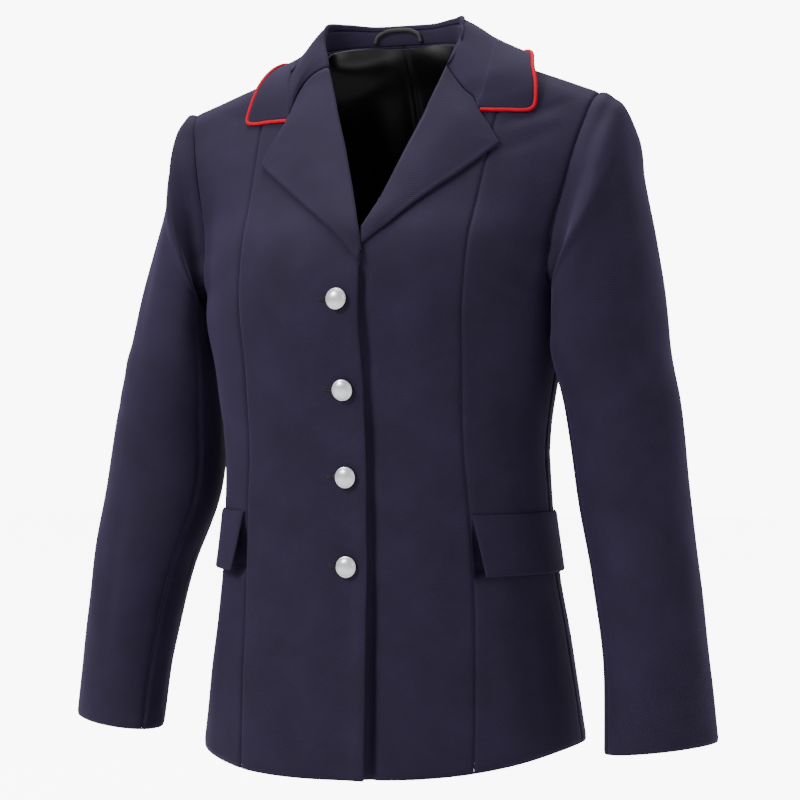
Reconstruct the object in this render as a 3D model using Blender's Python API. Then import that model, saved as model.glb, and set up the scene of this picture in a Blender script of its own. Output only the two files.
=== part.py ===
"""A woman's fire service dress jacket, filled out with no wearer.

Metres, +Z up, the jacket faces -Y and the wearer's left is +X.
The origin lies between the shoulders at the height of the side neck.
Every cloth piece is a thin wall of its own, 0.3 mm from its neighbour.
"""
import bpy
import bmesh
import math
import numpy as np
from mathutils import Vector
from mathutils.bvhtree import BVHTree

for item in list(bpy.data.objects):
    bpy.data.objects.remove(item, do_unlink=True)

# Driving sizes
CLOTH = 0.0020
LINING = 0.0010
SEAM_GAP = 0.0003
SLEEVE_PULL = 0.00027
LAYER_GAP = 0.0008
LINING_GAP = 0.0007
LINING_EASE = 0.0014
NECK_HEIGHTS = (-0.035, -0.008)
LINING_EDGES = (("first_column", 0.00015), ("last_row", 0.0020), ("first_row", 0.0150),
                ("last_column", 0.0040))
OVERLAP = 0.0195
UNDERLAP_REACH = (-0.078, -0.033)
UNDERLAP_DEPTH = (0.12, 0.17)
NECK_HALF = 0.070
NECK_DEPTH = 0.034
NECK_RISE = 0.008
NECK_Y = 0.012
SHOULDER_TURN = (0.390, 0.0, 0.921)
HEM_LEAN = ((0, 0.0060), (1, 0.0050), (2, 0.0035), (3, 0.0020), (4, 0.0008), (6, 0.0))
HEM_HALF = 0.190
HEM_POWER = 3.0
SHOULDER_DROP = 0.0045
DROP_REACH = (0.070, 0.130)
DROP_SECTIONS = (9.0, 13.0)
NECK_ROUND = 0.050
WHOLE = 1.0
ROW_PARTS = (2, 2, 2, 2, 2, 2, 1, 1, 1, 1, 1, 1, 1, 1)
UNDERARM_ROW = 12
FRONT_COUNT = 7
BACK_COUNT = 6
RING_PARTS = (1, 1, 1, 1, 1, 1, 1, 1, 2, 2, 2, 1)
FULL_TURN = 2.25
FULL_SPREAD = 0.75
FULL_WAY = (-0.9, -0.45, 0.0)
FRONT_SLEEVE_SEAM = 1
BACK_SLEEVE_SEAM = 13
LAPEL_CLOTH = 0.0024
LAPEL_LIFT = 0.0009
LAPEL_BULGE = 0.0028
GORGE_EASE = (0.55, 1.0)
BULGE_END = 0.9
BULGE_LOW = (0.0, 0.15)
BULGE_HIGH = (0.0, 0.2)
LAPEL_ROWS = (9, 4)
GORGE_COUNT = 6
GORGE_PULL = 0.0003
GORGE_SHIFT = (-0.0006, -0.0003)
COLLAR_CLOTH = 0.0024
COLLAR_COUNT = 11
COLLAR_EASE = (0.35, 0.97)
PIPING_WIDE = 0.0018
PIPING_HIGH = 0.0015
PIPING_GAP = 0.0006
PIPING_START = 0.0035
PIPING_AROUND = 8
FLAP_TOP = -0.4480
FLAP_BOTTOM = -0.5050
FLAP_LENGTH = 0.145
FLAP_SLANT = 0.010
FLAP_COLUMNS = 13
FLAP_ROWS = 4
FLAP_TURNS = (0.3, 2.6, 90)
FLAP_FAR = 0.5
FLAP_FRONT = 60
FLAP_START = 0.1135
FLAP_LIFT = (0.0009, 0.0025, 0.0040)
STAND_COUNT = 9
STAND_END = 3.2
STAND_LIFT = 0.0008
LOOP_WIDE = 0.0020
LOOP_HIGH = 0.0008
LOOP_PARTS = (2, 2, 3, 3, 2, 2)
LOOP_AROUND = 6
BUTTON_HEIGHTS = (-0.250, -0.333, -0.414, -0.497)
BUTTON_AROUND = 18

# Front sections from hem to shoulder seam, sizes of the wearer's half
# mid_z, side_z   height of the section at the centre and at the side
# half            half width
# side_y, mid_y   depth at the side and at the centre front
# power           roundness of the section
# princess, arm   distance of the two long seams from the centre
FRONT_COLUMNS = ("mid_z", "side_z", "half", "side_y", "mid_y", "power", "princess", "arm")
FRONT_ROWS = (
    (-0.6940, -0.6725, 0.1925, 0.0115, -0.1150, 2.00, 0.117, 1.0),
    (-0.6000, -0.5900, 0.1805, 0.0090, -0.1115, 2.05, 0.1165, 1.0),
    (-0.5050, -0.5000, 0.1668, 0.0040, -0.1085, 2.20, 0.114, 1.0),
    (-0.4450, -0.4430, 0.1625, 0.0000, -0.1095, 2.30, 0.111, 1.0),
    (-0.3900, -0.3900, 0.1600, -0.0020, -0.1120, 2.40, 0.1075, 1.0),
    (-0.3200, -0.3200, 0.1690, -0.0030, -0.1210, 2.25, 0.108, 1.0),
    (-0.2520, -0.2520, 0.1810, -0.0040, -0.1335, 2.05, 0.111, 1.0),
    (-0.2280, -0.2325, 0.1840, -0.0040, -0.1315, 2.00, 0.112, 0.1755),
    (-0.1850, -0.1990, 0.1890, 0.0000, -0.1180, 2.00, 0.113, 0.1755),
    (-0.1450, -0.1720, 0.1970, -0.0020, -0.0930, 2.00, 0.115, 0.1800),
    (-0.1050, -0.1455, 0.2050, -0.0100, -0.0690, 2.00, 0.117, 0.1870),
    (-0.0620, -0.1160, 0.2120, -0.0150, -0.0450, 2.00, 0.119, 0.1935),
    (-0.0280, -0.0885, 0.2150, -0.0120, -0.0240, 2.00, 0.122, 0.2000),
    (0.0020, -0.0645, 0.2160, -0.0020, -0.0060, 2.00, 0.126, 0.2060),
    (0.0142, -0.0540, 0.2170, 0.0115, 0.0115, 2.00, 0.129, 0.2090),
)

# Back sections, neck is the extra depth the collar seat gives at the centre
BACK_COLUMNS = ("mid_z", "side_z", "half", "side_y", "mid_y", "power", "neck", "princess", "arm")
BACK_ROWS = (
    (-0.6600, -0.6725, 0.1925, 0.0115, 0.1380, 2.10, 0.0, 0.085, 1.0),
    (-0.5840, -0.5900, 0.1805, 0.0090, 0.1320, 2.10, 0.0, 0.082, 1.0),
    (-0.4950, -0.5000, 0.1668, 0.0040, 0.1200, 2.10, 0.0, 0.078, 1.0),
    (-0.4410, -0.4430, 0.1625, 0.0000, 0.1100, 2.15, 0.0, 0.076, 1.0),
    (-0.3900, -0.3900, 0.1600, -0.0020, 0.1050, 2.20, 0.0, 0.075, 1.0),
    (-0.3200, -0.3200, 0.1690, -0.0030, 0.1100, 2.20, 0.0, 0.076, 1.0),
    (-0.2520, -0.2520, 0.1810, -0.0040, 0.1180, 2.15, 0.0, 0.080, 1.0),
    (-0.2300, -0.2345, 0.1840, -0.0020, 0.1185, 2.10, 0.0, 0.080, 0.1785),
    (-0.1900, -0.2050, 0.1890, 0.0060, 0.1160, 2.00, 0.0, 0.080, 0.1785),
    (-0.1500, -0.1800, 0.1970, 0.0140, 0.1100, 2.00, 0.0, 0.079, 0.1825),
    (-0.1080, -0.1500, 0.2050, 0.0240, 0.0980, 2.00, 0.0, 0.077, 0.1890),
    (-0.0660, -0.1200, 0.2120, 0.0300, 0.0800, 2.00, 0.004, 0.075, 0.1970),
    (-0.0300, -0.0900, 0.2150, 0.0280, 0.0580, 2.00, 0.011, 0.072, 0.2040),
    (-0.0020, -0.0670, 0.2160, 0.0220, 0.0270, 2.00, 0.024, 0.070, 0.2080),
    (0.0142, -0.0540, 0.2170, 0.0115, 0.0115, 2.00, 0.0, 0.070, 0.2090),
)

# Roll lines, height and distance from the centre on the wearer's own side
ROLL_RIGHT = ((-0.203, -0.0195), (-0.187, -0.0160), (-0.169, -0.0095), (-0.1412, 0.0020),
              (-0.1064, 0.0165), (-0.0531, 0.0395), (-0.0194, 0.0557), (0.0, 0.070))
ROLL_LEFT = ((-0.245, -0.0195), (-0.215, -0.004), (-0.183, 0.0155), (-0.158, 0.0270), (-0.132, 0.0350),
             (-0.104, 0.0430), (-0.0736, 0.0525), (-0.0467, 0.0585), (-0.0219, 0.0650), (0.0, 0.070))
ROLL = {1: ROLL_LEFT, -1: ROLL_RIGHT}

# Sleeve rings below the armhole: outer end of the ring on each side, inner end, half depth
# full is the extra fullness in front of the underarm
# share is how far the ring has left the shape of the armhole
SLEEVE_COLUMNS = ("left_x", "right_x", "outer_y", "outer_z", "inner_x", "inner_y", "inner_z", "deep", "full", "share")
SLEEVE_ROWS = (
    (0.2190, 0.2175, 0.0145, -0.0515, 0.1845, -0.0040, -0.2535, 0.060, 0.000, 0.25),
    (0.2310, 0.2250, 0.0185, -0.0615, 0.1870, -0.0060, -0.2565, 0.063, 0.011, 0.65),
    (0.2400, 0.2270, 0.0230, -0.0880, 0.1880, -0.0080, -0.2595, 0.065, 0.015, 1.0),
    (0.2460, 0.2335, 0.0255, -0.1280, 0.1875, -0.0100, -0.2630, 0.065, 0.016, 1.0),
    (0.2565, 0.2475, 0.0245, -0.1800, 0.1860, -0.0120, -0.2680, 0.065, 0.016, 1.0),
    (0.2665, 0.2610, 0.0215, -0.2300, 0.1840, -0.0140, -0.2780, 0.064, 0.015, 1.0),
    (0.2760, 0.2740, 0.0120, -0.2950, 0.1800, -0.0140, -0.3000, 0.062, 0.012, 1.0),
    (0.2865, 0.2845, 0.0060, -0.3425, 0.1815, -0.0040, -0.3425, 0.061, 0.003, 1.0),
    (0.2965, 0.3020, 0.0060, -0.4350, 0.1930, 0.0000, -0.4350, 0.056, 0.000, 1.0),
    (0.3090, 0.3100, -0.0060, -0.5100, 0.2097, -0.0100, -0.5100, 0.052, 0.000, 1.0),
    (0.3200, 0.3190, -0.0110, -0.5950, 0.2230, -0.0230, -0.5950, 0.048, 0.000, 1.0),
    (0.3267, 0.3267, -0.0092, -0.6565, 0.2273, -0.0388, -0.6665, 0.045, 0.000, 1.0),
)
# Inner side of the right sleeve stands out by this at some ring heights
SLEEVE_FOLD = ((-0.560, 0.0), (-0.510, 0.0030), (-0.435, 0.0110), (-0.3425, 0.0040), (-0.300, 0.0))

# Lapel outlines from the break round the tip to the notch, distance and height
LAPEL_RIGHT = ((-0.0190, -0.2150), (-0.0134, -0.2099), (-0.0034, -0.1983), (0.0200, -0.1793),
               (0.0460, -0.1613), (0.0741, -0.1418), (0.1076, -0.1182), (0.0996, -0.0972), (0.0858, -0.0720))
LAPEL_LEFT = ((0.0225, -0.1955), (0.0295, -0.1893), (0.0398, -0.1817), (0.0557, -0.1663),
              (0.0754, -0.1487), (0.0995, -0.1291), (0.1276, -0.1035), (0.1140, -0.0838), (0.1018, -0.0687))
LAPEL = {1: LAPEL_LEFT, -1: LAPEL_RIGHT}
LAPEL_TIP = 6
TIP_ROLL_Z = -0.088
LAPEL_LOW = {1: -0.1810, -1: -0.2030}

# Gorge seam from the roll line to the notch, then the collar end to its corner
GORGE_RIGHT = ((0.0557, -0.0194), (0.0683, -0.0244), (0.0782, -0.0342), (0.0832, -0.0486), (0.0858, -0.0720))
GORGE_LEFT = ((0.0650, -0.0219), (0.0778, -0.0392), (0.0897, -0.0519), (0.0963, -0.0571), (0.1018, -0.0687))
GORGE = {1: GORGE_LEFT, -1: GORGE_RIGHT}
END_RIGHT = ((0.1000, -0.0716), (0.1140, -0.0717), (0.1278, -0.0724), (0.1372, -0.0712))
END_LEFT = ((0.1150, -0.0690), (0.1300, -0.0693), (0.1430, -0.0698), (0.1530, -0.0688))
COLLAR_END = {1: END_LEFT, -1: END_RIGHT}

# Collar from centre back to front, fold at the top and outer edge, bulge between
COLLAR_COLUMNS = ("roll_x", "roll_y", "roll_z", "edge_x", "edge_y", "edge_z", "bulge")
COLLAR_LEFT = (
    (0.0000, 0.0475, 0.0290, 0.0000, 0.0665, -0.0130, 0.0060),
    (0.0300, 0.0445, 0.0290, 0.0450, 0.0640, -0.0135, 0.0065),
    (0.0540, 0.0330, 0.0305, 0.0890, 0.0500, -0.0130, 0.0070),
    (0.0680, 0.0150, 0.0260, 0.1330, 0.0180, -0.0100, 0.0045),
    (0.0690, -0.0010, 0.0080, 0.1395, -0.0040, -0.0285, 0.0045),
    (0.0640, -0.0120, -0.0080, 0.1445, -0.0150, -0.0490, 0.0030),
    (0.0603, -0.0190, -0.0205, 0.1450, -0.0200, -0.0700, 0.0015),
)
COLLAR_RIGHT = (
    (0.0000, 0.0475, 0.0290, 0.0000, 0.0665, -0.0130, 0.0060),
    (0.0300, 0.0445, 0.0290, 0.0450, 0.0640, -0.0135, 0.0060),
    (0.0540, 0.0330, 0.0305, 0.0850, 0.0500, -0.0130, 0.0040),
    (0.0680, 0.0150, 0.0260, 0.1200, 0.0180, -0.0095, 0.0010),
    (0.0690, -0.0010, 0.0080, 0.1330, -0.0040, -0.0280, 0.0025),
    (0.0640, -0.0120, -0.0080, 0.1400, -0.0150, -0.0490, 0.0025),
    (0.0603, -0.0190, -0.0205, 0.1450, -0.0200, -0.0700, 0.0015),
)
COLLAR_ROWS = {1: COLLAR_LEFT, -1: COLLAR_RIGHT}
STAND_SHARE = 0.72

# Turned outline of a button, radius and height above the cloth
BUTTON_PROFILE = ((0.0, 0.0005), (0.0030, 0.0005), (0.0030, 0.0020), (0.0086, 0.0022), (0.0100, 0.0033),
                  (0.0098, 0.0044), (0.0078, 0.0062), (0.0042, 0.0074), (0.0, 0.0078))

# Middle line of the hanger loop from its right end to its left end
LOOP = ((-0.0290, 0.0413, 0.0105), (-0.0270, 0.0415, 0.0165), (-0.0200, 0.0428, 0.0215),
        (-0.0050, 0.0440, 0.0235), (0.0090, 0.0436, 0.0220), (0.0160, 0.0430, 0.0175), (0.0185, 0.0427, 0.0105))

def linear(value):
    """One sRGB channel as a linear value."""
    return value / 12.92 if value <= 0.04045 else ((value + 0.055) / 1.055) ** 2.4


def finish(name, colour, roughness, metallic):
    """A plain material with the colour given in hex."""
    channels = [linear(int(colour[i:i + 2], 16) / 255.0) for i in (0, 2, 4)]
    material = bpy.data.materials.new(name)
    material.use_nodes = True
    shader = material.node_tree.nodes["Principled BSDF"]
    shader.inputs["Base Color"].default_value = (*channels, 1.0)
    shader.inputs["Roughness"].default_value = roughness
    shader.inputs["Metallic"].default_value = metallic
    material.diffuse_color = (*channels, 1.0)
    return material


def smooth(knots, values, at):
    """A cubic through the values, one entry of values to a knot."""
    knots = np.asarray(knots, float)
    values = np.asarray(values, float)
    at = np.clip(np.atleast_1d(np.asarray(at, float)), knots[0], knots[-1])
    slopes = np.gradient(values, knots, axis=0)
    low = np.clip(np.searchsorted(knots, at, side="right") - 1, 0, len(knots) - 2)
    step = knots[low + 1] - knots[low]
    part = (at - knots[low]) / step
    shape = (-1,) + (1,) * (values.ndim - 1)
    step = step.reshape(shape)
    part = part.reshape(shape)
    return ((1 + 2 * part) * (1 - part) ** 2 * values[low]
            + part * (1 - part) ** 2 * step * slopes[low]
            + part ** 2 * (3 - 2 * part) * values[low + 1]
            + part ** 2 * (part - 1) * step * slopes[low + 1])


def resample(points, count):
    """Points at equal distances along a line."""
    gaps = np.linalg.norm(np.diff(points, axis=0), axis=1)
    length = np.concatenate(([0.0], np.cumsum(gaps)))
    at = np.linspace(0.0, length[-1], count)
    return np.stack([np.interp(at, length, points[:, k]) for k in range(3)], axis=1)


def row_edge(row, roll):
    """Where a front section meets the front edge or the roll line."""
    x = -OVERLAP
    heights = [entry[0] for entry in roll]
    reach = [entry[1] for entry in roll]
    for _ in range(30):
        z = section_height(row, x)
        x = 0.5 * x + 0.5 * float(np.interp(z, heights, reach))
    return x


def section_height(row, x):
    """Height of a section at a distance from the centre."""
    if row["arm"] == WHOLE:
        return row["mid_z"] + (row["side_z"] - row["mid_z"]) * np.abs(x / row["half"]) ** HEM_POWER
    full = math.hypot(row["half"], NECK_ROUND) - NECK_ROUND
    return row["mid_z"] + (row["side_z"] - row["mid_z"]) * (np.hypot(x, NECK_ROUND) - NECK_ROUND) / full


def section_point(row, x):
    """Points of a section at distances from the centre."""
    share = np.clip(1.0 - np.minimum(np.abs(x) / row["half"], 1.0) ** row["power"], 0.0, 1.0)
    y = row["side_y"] + (row["mid_y"] - row["side_y"]) * share ** (1.0 / row["power"])
    y = y + row.get("neck", 0.0) * np.exp(-(x / NECK_ROUND) ** 2)
    return np.stack([x, y, section_height(row, x)], axis=1)


def section_span(row, start, end, count):
    """Part of a section between two distances from the centre."""
    first = math.asin(max(-1.0, min(1.0, start / row["half"])))
    last = math.asin(max(-1.0, min(1.0, end / row["half"])))
    angles = np.linspace(first, last, 60)
    return resample(section_point(row, row["half"] * np.sin(angles)), count)


def neck_span(count):
    """The back neck seam from centre back to side neck."""
    turn = np.linspace(0.0, math.pi / 2, 60)
    points = np.stack([NECK_HALF * np.sin(turn),
                       NECK_Y + NECK_DEPTH * np.cos(turn),
                       NECK_RISE * np.cos(turn)], axis=1)
    return resample(points, count)


def half_sheet(rows, columns, roll, inner_count, outer_count):
    """Sections of the front or the back, each as a line of points."""
    lines = []
    for index, values in enumerate(rows):
        row = dict(zip(columns, values))
        end = min(row["arm"], row["half"])
        start = row_edge(row, roll) if roll else 0.0
        if roll is None and index == len(rows) - 1:
            inner = neck_span(inner_count)
        else:
            inner = section_span(row, start, row["princess"], inner_count)
        outer = section_span(row, row["princess"], end, outer_count)
        lines.append(np.concatenate([inner, outer[1:]]))
    return np.array(lines)


def row_knots(lines):
    """Distance along the sheet from the hem up, one value to a section."""
    middle = lines[:, lines.shape[1] // 2]
    gaps = np.linalg.norm(np.diff(middle, axis=0), axis=1)
    return np.concatenate(([0.0], np.cumsum(gaps)))


def refine(lines, parts):
    """More sections between the given ones, parts says how many to each gap."""
    knots = row_knots(lines)
    at = [knots[0]]
    for low, high, count in zip(knots[:-1], knots[1:], parts):
        at.extend(np.linspace(low, high, count + 1)[1:])
    return smooth(knots, lines, at)


def sheet_normals(grid):
    """Outward directions of a grid whose rows run up and columns run outward."""
    across = np.gradient(grid, axis=1)
    along = np.gradient(grid, axis=0)
    normals = np.cross(along, across)
    return normals / np.linalg.norm(normals, axis=2, keepdims=True)


def wall(name, outer, inner, material):
    """A closed thin wall between two grids of points."""
    rows, columns = outer.shape[:2]
    count = rows * columns
    points = np.concatenate([outer.reshape(-1, 3), inner.reshape(-1, 3)])
    faces = []
    for i in range(rows - 1):
        for j in range(columns - 1):
            a = i * columns + j
            for face in ((a, a + 1, a + columns + 1), (a, a + columns + 1, a + columns)):
                faces.append(face)
                faces.append(tuple(count + k for k in reversed(face)))
    rim = [j for j in range(columns)]
    rim += [i * columns + columns - 1 for i in range(1, rows)]
    rim += [(rows - 1) * columns + j for j in range(columns - 2, -1, -1)]
    rim += [i * columns for i in range(rows - 2, 0, -1)]
    for a, b in zip(rim, rim[1:] + rim[:1]):
        faces.append((b, a, count + a, count + b))
    return solid(name, points, faces, material)


def solid(name, points, faces, material):
    """A mesh object with its faces turned outward and shaded smooth."""
    mesh = bpy.data.meshes.new(name)
    mesh.from_pydata([tuple(p) for p in points], [], faces)
    work = bmesh.new()
    work.from_mesh(mesh)
    bmesh.ops.recalc_face_normals(work, faces=work.faces)
    for face in work.faces:
        face.smooth = True
    work.to_mesh(mesh)
    work.free()
    mesh.materials.append(material)
    item = bpy.data.objects.new(name, mesh)
    bpy.context.collection.objects.link(item)
    return item


def tube(name, path, side, out, half_wide, half_high, around, material):
    """A closed cord along a path, oval across side and out."""
    turns = np.linspace(0.0, 2.0 * math.pi, around, endpoint=False)
    rings = [p + half_wide * np.outer(np.cos(turns), s) + half_high * np.outer(np.sin(turns), o)
             for p, s, o in zip(path, side, out)]
    points = np.concatenate(rings)
    faces = []
    for i in range(len(path) - 1):
        for j in range(around):
            k = (j + 1) % around
            faces.append((i * around + j, i * around + k, (i + 1) * around + k, (i + 1) * around + j))
    faces.append(tuple(range(around)))
    faces.append(tuple((len(path) - 1) * around + j for j in reversed(range(around))))
    return solid(name, points, faces, material)


def pull(grid, edge, distance):
    """Move one edge of a grid back along the grid, to leave a seam gap."""
    grid = grid.copy()
    pairs = {"first_column": ((slice(None), 0), (slice(None), 1)),
             "last_column": ((slice(None), -1), (slice(None), -2)),
             "last_row": ((-1,), (-2,)),
             "first_row": ((0,), (1,))}
    at, toward = pairs[edge]
    step = grid[toward] - grid[at]
    grid[at] = grid[at] + distance * step / np.linalg.norm(step, axis=-1, keepdims=True)
    return grid


def tree_of(grids):
    """Search tree over the faces of some grids, turned outward."""
    points = []
    faces = []
    for grid in grids:
        rows, columns = grid.shape[:2]
        start = len(points)
        points.extend(Vector(p) for p in grid.reshape(-1, 3))
        for i in range(rows - 1):
            for j in range(columns - 1):
                a = start + i * columns + j
                faces.append((a, a + columns, a + columns + 1, a + 1))
    return BVHTree.FromPolygons(points, faces)


def drop(tree, x, z):
    """The front cloth behind a point of the front view, with its outward direction."""
    for step in range(40):
        reach = x + 0.0008 * step
        place, normal, _, _ = tree.ray_cast(Vector((reach, -1.0, z)), Vector((0.0, 1.0, 0.0)))
        if place is not None:
            break
    if normal.y > 0.0:
        normal = -normal
    return np.array([x, place.y, z]), np.array(normal)


def ease(value, low, high):
    """Zero below low, one above high, soft between."""
    part = np.clip((value - low) / (high - low), 0.0, 1.0)
    return part * part * (3.0 - 2.0 * part)


def unit(vectors):
    """Vectors at length one."""
    return vectors / np.maximum(np.linalg.norm(vectors, axis=-1, keepdims=True), 1e-9)


def lean_hem(grid, side):
    """The hem hangs a little lower on the wearer's right, and so does the middle of that shoulder."""
    grid = grid.copy()
    rows = [entry[0] for entry in HEM_LEAN]
    drops = [entry[1] for entry in HEM_LEAN]
    sections = np.interp(range(len(grid)), np.concatenate(([0], np.cumsum(ROW_PARTS))), range(len(ROW_PARTS) + 1))
    x = grid[..., 0]
    grid[..., 2] += side * np.interp(sections, rows, drops)[:, None] * x / HEM_HALF
    if side == -1:
        grid[..., 2] -= SHOULDER_DROP * ease(x, *DROP_REACH) * ease(sections, *DROP_SECTIONS)[:, None]
    return grid


def half_body(side):
    """Outer faces and outward directions of one half, as if it were the left."""
    front = refine(half_sheet(FRONT_ROWS, FRONT_COLUMNS, ROLL[side], FRONT_COUNT, FRONT_COUNT), ROW_PARTS)
    back = refine(half_sheet(BACK_ROWS, BACK_COLUMNS, None, BACK_COUNT, BACK_COUNT), ROW_PARTS)
    front = lean_hem(front, side)
    back = lean_hem(back, side)
    low = slice(0, UNDERARM_ROW + 1)
    seam = 0.5 * (front[low, -1] + back[low, -1])
    front[low, -1] = seam
    back[low, -1] = seam
    front_out = -sheet_normals(front)
    back_out = sheet_normals(back)
    shared = unit(front_out[low, -1] + back_out[low, -1])
    front_out[low, -1] = shared
    back_out[low, -1] = shared
    front_out[-1] = np.array(SHOULDER_TURN)
    back_out[-1, BACK_COUNT - 1:] = np.array(SHOULDER_TURN)
    back_out[:, 0, 0] = 0.0
    back_out = unit(back_out)
    return front, front_out, back, back_out


def mirrored(grid, side):
    """The grid on its own side of the body."""
    grid = grid.copy()
    grid[..., 0] *= side
    return grid


def armhole(front, front_out, back, back_out):
    """The armhole as a closed ring from underarm up the front and down the back."""
    low = UNDERARM_ROW
    ring = np.concatenate([front[low:, -1], back[low + 1:-1, -1][::-1]])
    out = np.concatenate([front_out[low:, -1], back_out[low + 1:-1, -1][::-1]])
    along = unit(np.roll(ring, -1, axis=0) - np.roll(ring, 1, axis=0))
    away = unit(np.cross(along, out))
    if away[3, 0] < 0.0:
        away = -away
    return ring, out, away


def ring_turns(ring):
    """Angle of each armhole point round the sleeve, half a turn front and back."""
    top = int(np.argmax(ring[:, 2]))
    closed = np.concatenate([ring, ring[:1]])
    gaps = np.linalg.norm(np.diff(closed, axis=0), axis=1)
    length = np.concatenate(([0.0], np.cumsum(gaps)))
    front = math.pi * (1.0 - length[:top + 1] / length[top])
    back = -math.pi * (length[top + 1:-1] - length[top]) / (length[-1] - length[top])
    return np.concatenate([front, back])


def sleeve_grid(ring, out, away, side):
    """Outer and inner faces of a sleeve, rows down the arm, columns round it."""
    turns = ring_turns(ring)
    start = ring + SEAM_GAP * 1.3 * away
    start_inner = start - CLOTH * out
    middle = ring.mean(axis=0)
    rings = [start]
    for values in SLEEVE_ROWS:
        row = dict(zip(SLEEVE_COLUMNS, values))
        outer = np.array([row["left_x" if side == 1 else "right_x"], row["outer_y"], row["outer_z"]])
        inner = np.array([row["inner_x"], row["inner_y"], row["inner_z"]])
        if side == -1:
            inner[0] -= np.interp(inner[2], [k[0] for k in SLEEVE_FOLD], [k[1] for k in SLEEVE_FOLD])
        centre = 0.5 * (outer + inner)
        reach = 0.5 * (outer - inner)
        depth = np.array([0.0, -row["deep"], 0.0])
        oval = centre + np.outer(np.cos(turns), reach) + np.outer(np.sin(turns), depth)
        oval += np.outer(np.exp(-((turns - FULL_TURN) / FULL_SPREAD) ** 2), row["full"] * np.array(FULL_WAY))
        shifted = ring - middle + centre
        rings.append((1.0 - row["share"]) * shifted + row["share"] * oval)
    rings = np.array(rings)
    grid = refine_rings(rings)
    wrapped = np.concatenate([grid[:, -1:], grid, grid[:, :1]], axis=1)
    normals = sheet_normals(wrapped)[:, 1:-1]
    centres = grid.mean(axis=1, keepdims=True)
    if np.sum(normals * (grid - centres)) < 0.0:
        normals = -normals
    inner = grid - CLOTH * normals
    inner[0] = start_inner
    return grid, inner


def refine_rings(rings):
    """More rings between the given ones."""
    centres = rings.mean(axis=1)
    gaps = np.linalg.norm(np.diff(centres, axis=0), axis=1)
    knots = np.concatenate(([0.0], np.cumsum(gaps)))
    at = [knots[0]]
    for low, high, count in zip(knots[:-1], knots[1:], RING_PARTS):
        at.extend(np.linspace(low, high, count + 1)[1:])
    return smooth(knots, rings, at)


def edge_line(points, counts):
    """A smooth line through points, counts says how many steps to each gap."""
    points = np.asarray(points, float)
    gaps = np.linalg.norm(np.diff(points, axis=0), axis=1)
    knots = np.concatenate(([0.0], np.cumsum(gaps)))
    at = [knots[0]]
    for low, high, count in zip(knots[:-1], knots[1:], counts):
        at.extend(np.linspace(low, high, count + 1)[1:])
    return smooth(knots, points, at)


def even_line(points, count):
    """Points at equal steps along a line of distance and height."""
    points = np.asarray(points, float)
    gaps = np.linalg.norm(np.diff(points, axis=0), axis=1)
    length = np.concatenate(([0.0], np.cumsum(gaps)))
    at = np.linspace(0.0, length[-1], count)
    return np.stack([np.interp(at, length, points[:, k]) for k in range(2)], axis=1)


def roll_points(side, heights):
    """Points of a roll line at some heights."""
    table = ROLL[side]
    reach = np.interp(heights, [entry[0] for entry in table], [entry[1] for entry in table])
    return np.stack([reach, heights], axis=1)


def lapel_grid(side, tree):
    """Outer and inner faces of a lapel, rows up the roll line, columns outward."""
    outline = np.array(LAPEL[side])
    tip = LAPEL_TIP
    lower, upper = LAPEL_ROWS
    outer = np.concatenate([even_line(outline[:tip + 1], lower), even_line(outline[tip:], upper)[1:]])
    low = LAPEL_LOW[side]
    high = GORGE[side][0][1]
    heights = np.concatenate([np.linspace(low, TIP_ROLL_Z, lower), np.linspace(TIP_ROLL_Z, high, upper)[1:]])
    inner = roll_points(side, heights)
    columns = GORGE_COUNT
    top = even_line(GORGE[side], columns) + np.array(GORGE_SHIFT)
    inner[-1] = top[0]
    outer[-1] = top[-1]
    across = np.linspace(0.0, 1.0, columns)
    up = np.linspace(0.0, 1.0, len(outer))
    grid = np.zeros((len(outer), columns, 3))
    below = np.zeros_like(grid)
    for i, v in enumerate(up):
        for j, u in enumerate(across):
            flat = (1.0 - u) * inner[i] + u * outer[i]
            straight = (1.0 - u) * inner[-1] + u * outer[-1]
            flat = flat + ease(v, *GORGE_EASE) * (top[j] - straight)
            place, normal = drop(tree, flat[0], flat[1])
            bulge = math.sin(math.pi * min(u, BULGE_END)) * ease(v, *BULGE_LOW) * ease(1.0 - v, *BULGE_HIGH)
            lift = LAPEL_LIFT + LAPEL_BULGE * bulge
            below[i, j] = place + normal * lift
            grid[i, j] = place + normal * (lift + LAPEL_CLOTH)
    return grid, below


def collar_lines(side, tree, count):
    """Outer face of the collar fall for one half, rows from centre back to front."""
    stations = np.array(COLLAR_ROWS[side])
    gaps = np.linalg.norm(np.diff(stations[:, 3:6], axis=0), axis=1)
    knots = np.concatenate(([0.0], np.cumsum(gaps)))
    rows = smooth(knots, stations, np.linspace(0.0, knots[-1], count))
    end = np.concatenate([even_line(GORGE[side], GORGE_COUNT), np.array(COLLAR_END[side])])
    final = []
    below = []
    for x, z in end:
        place, normal = drop(tree, x, z)
        below.append(place + normal * LAPEL_LIFT)
        final.append(place + normal * (LAPEL_LIFT + COLLAR_CLOTH))
    final = np.array(final)
    share = np.linspace(0.0, 1.0, len(end))
    grid = np.zeros((count, len(end), 3))
    for i, row in enumerate(rows):
        roll = row[0:3]
        edge = row[3:6]
        way = unit(edge - roll)
        rise = unit(np.array([0.0, 0.0, 1.0]) - way[2] * way)
        for j, u in enumerate(share):
            grid[i, j] = roll + (edge - roll) * u + rise * row[6] * 4.0 * u * (1.0 - u)
    change = final - grid[-1]
    for i in range(count):
        grid[i] += ease(i / (count - 1.0), *COLLAR_EASE) * change
    return grid, np.array(below)


def collar_normals(grid):
    """Outward directions of the whole collar fall."""
    normals = sheet_normals(grid)
    if normals[len(grid) // 2, 2, 2] < 0.0:
        normals = -normals
    return normals


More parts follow.
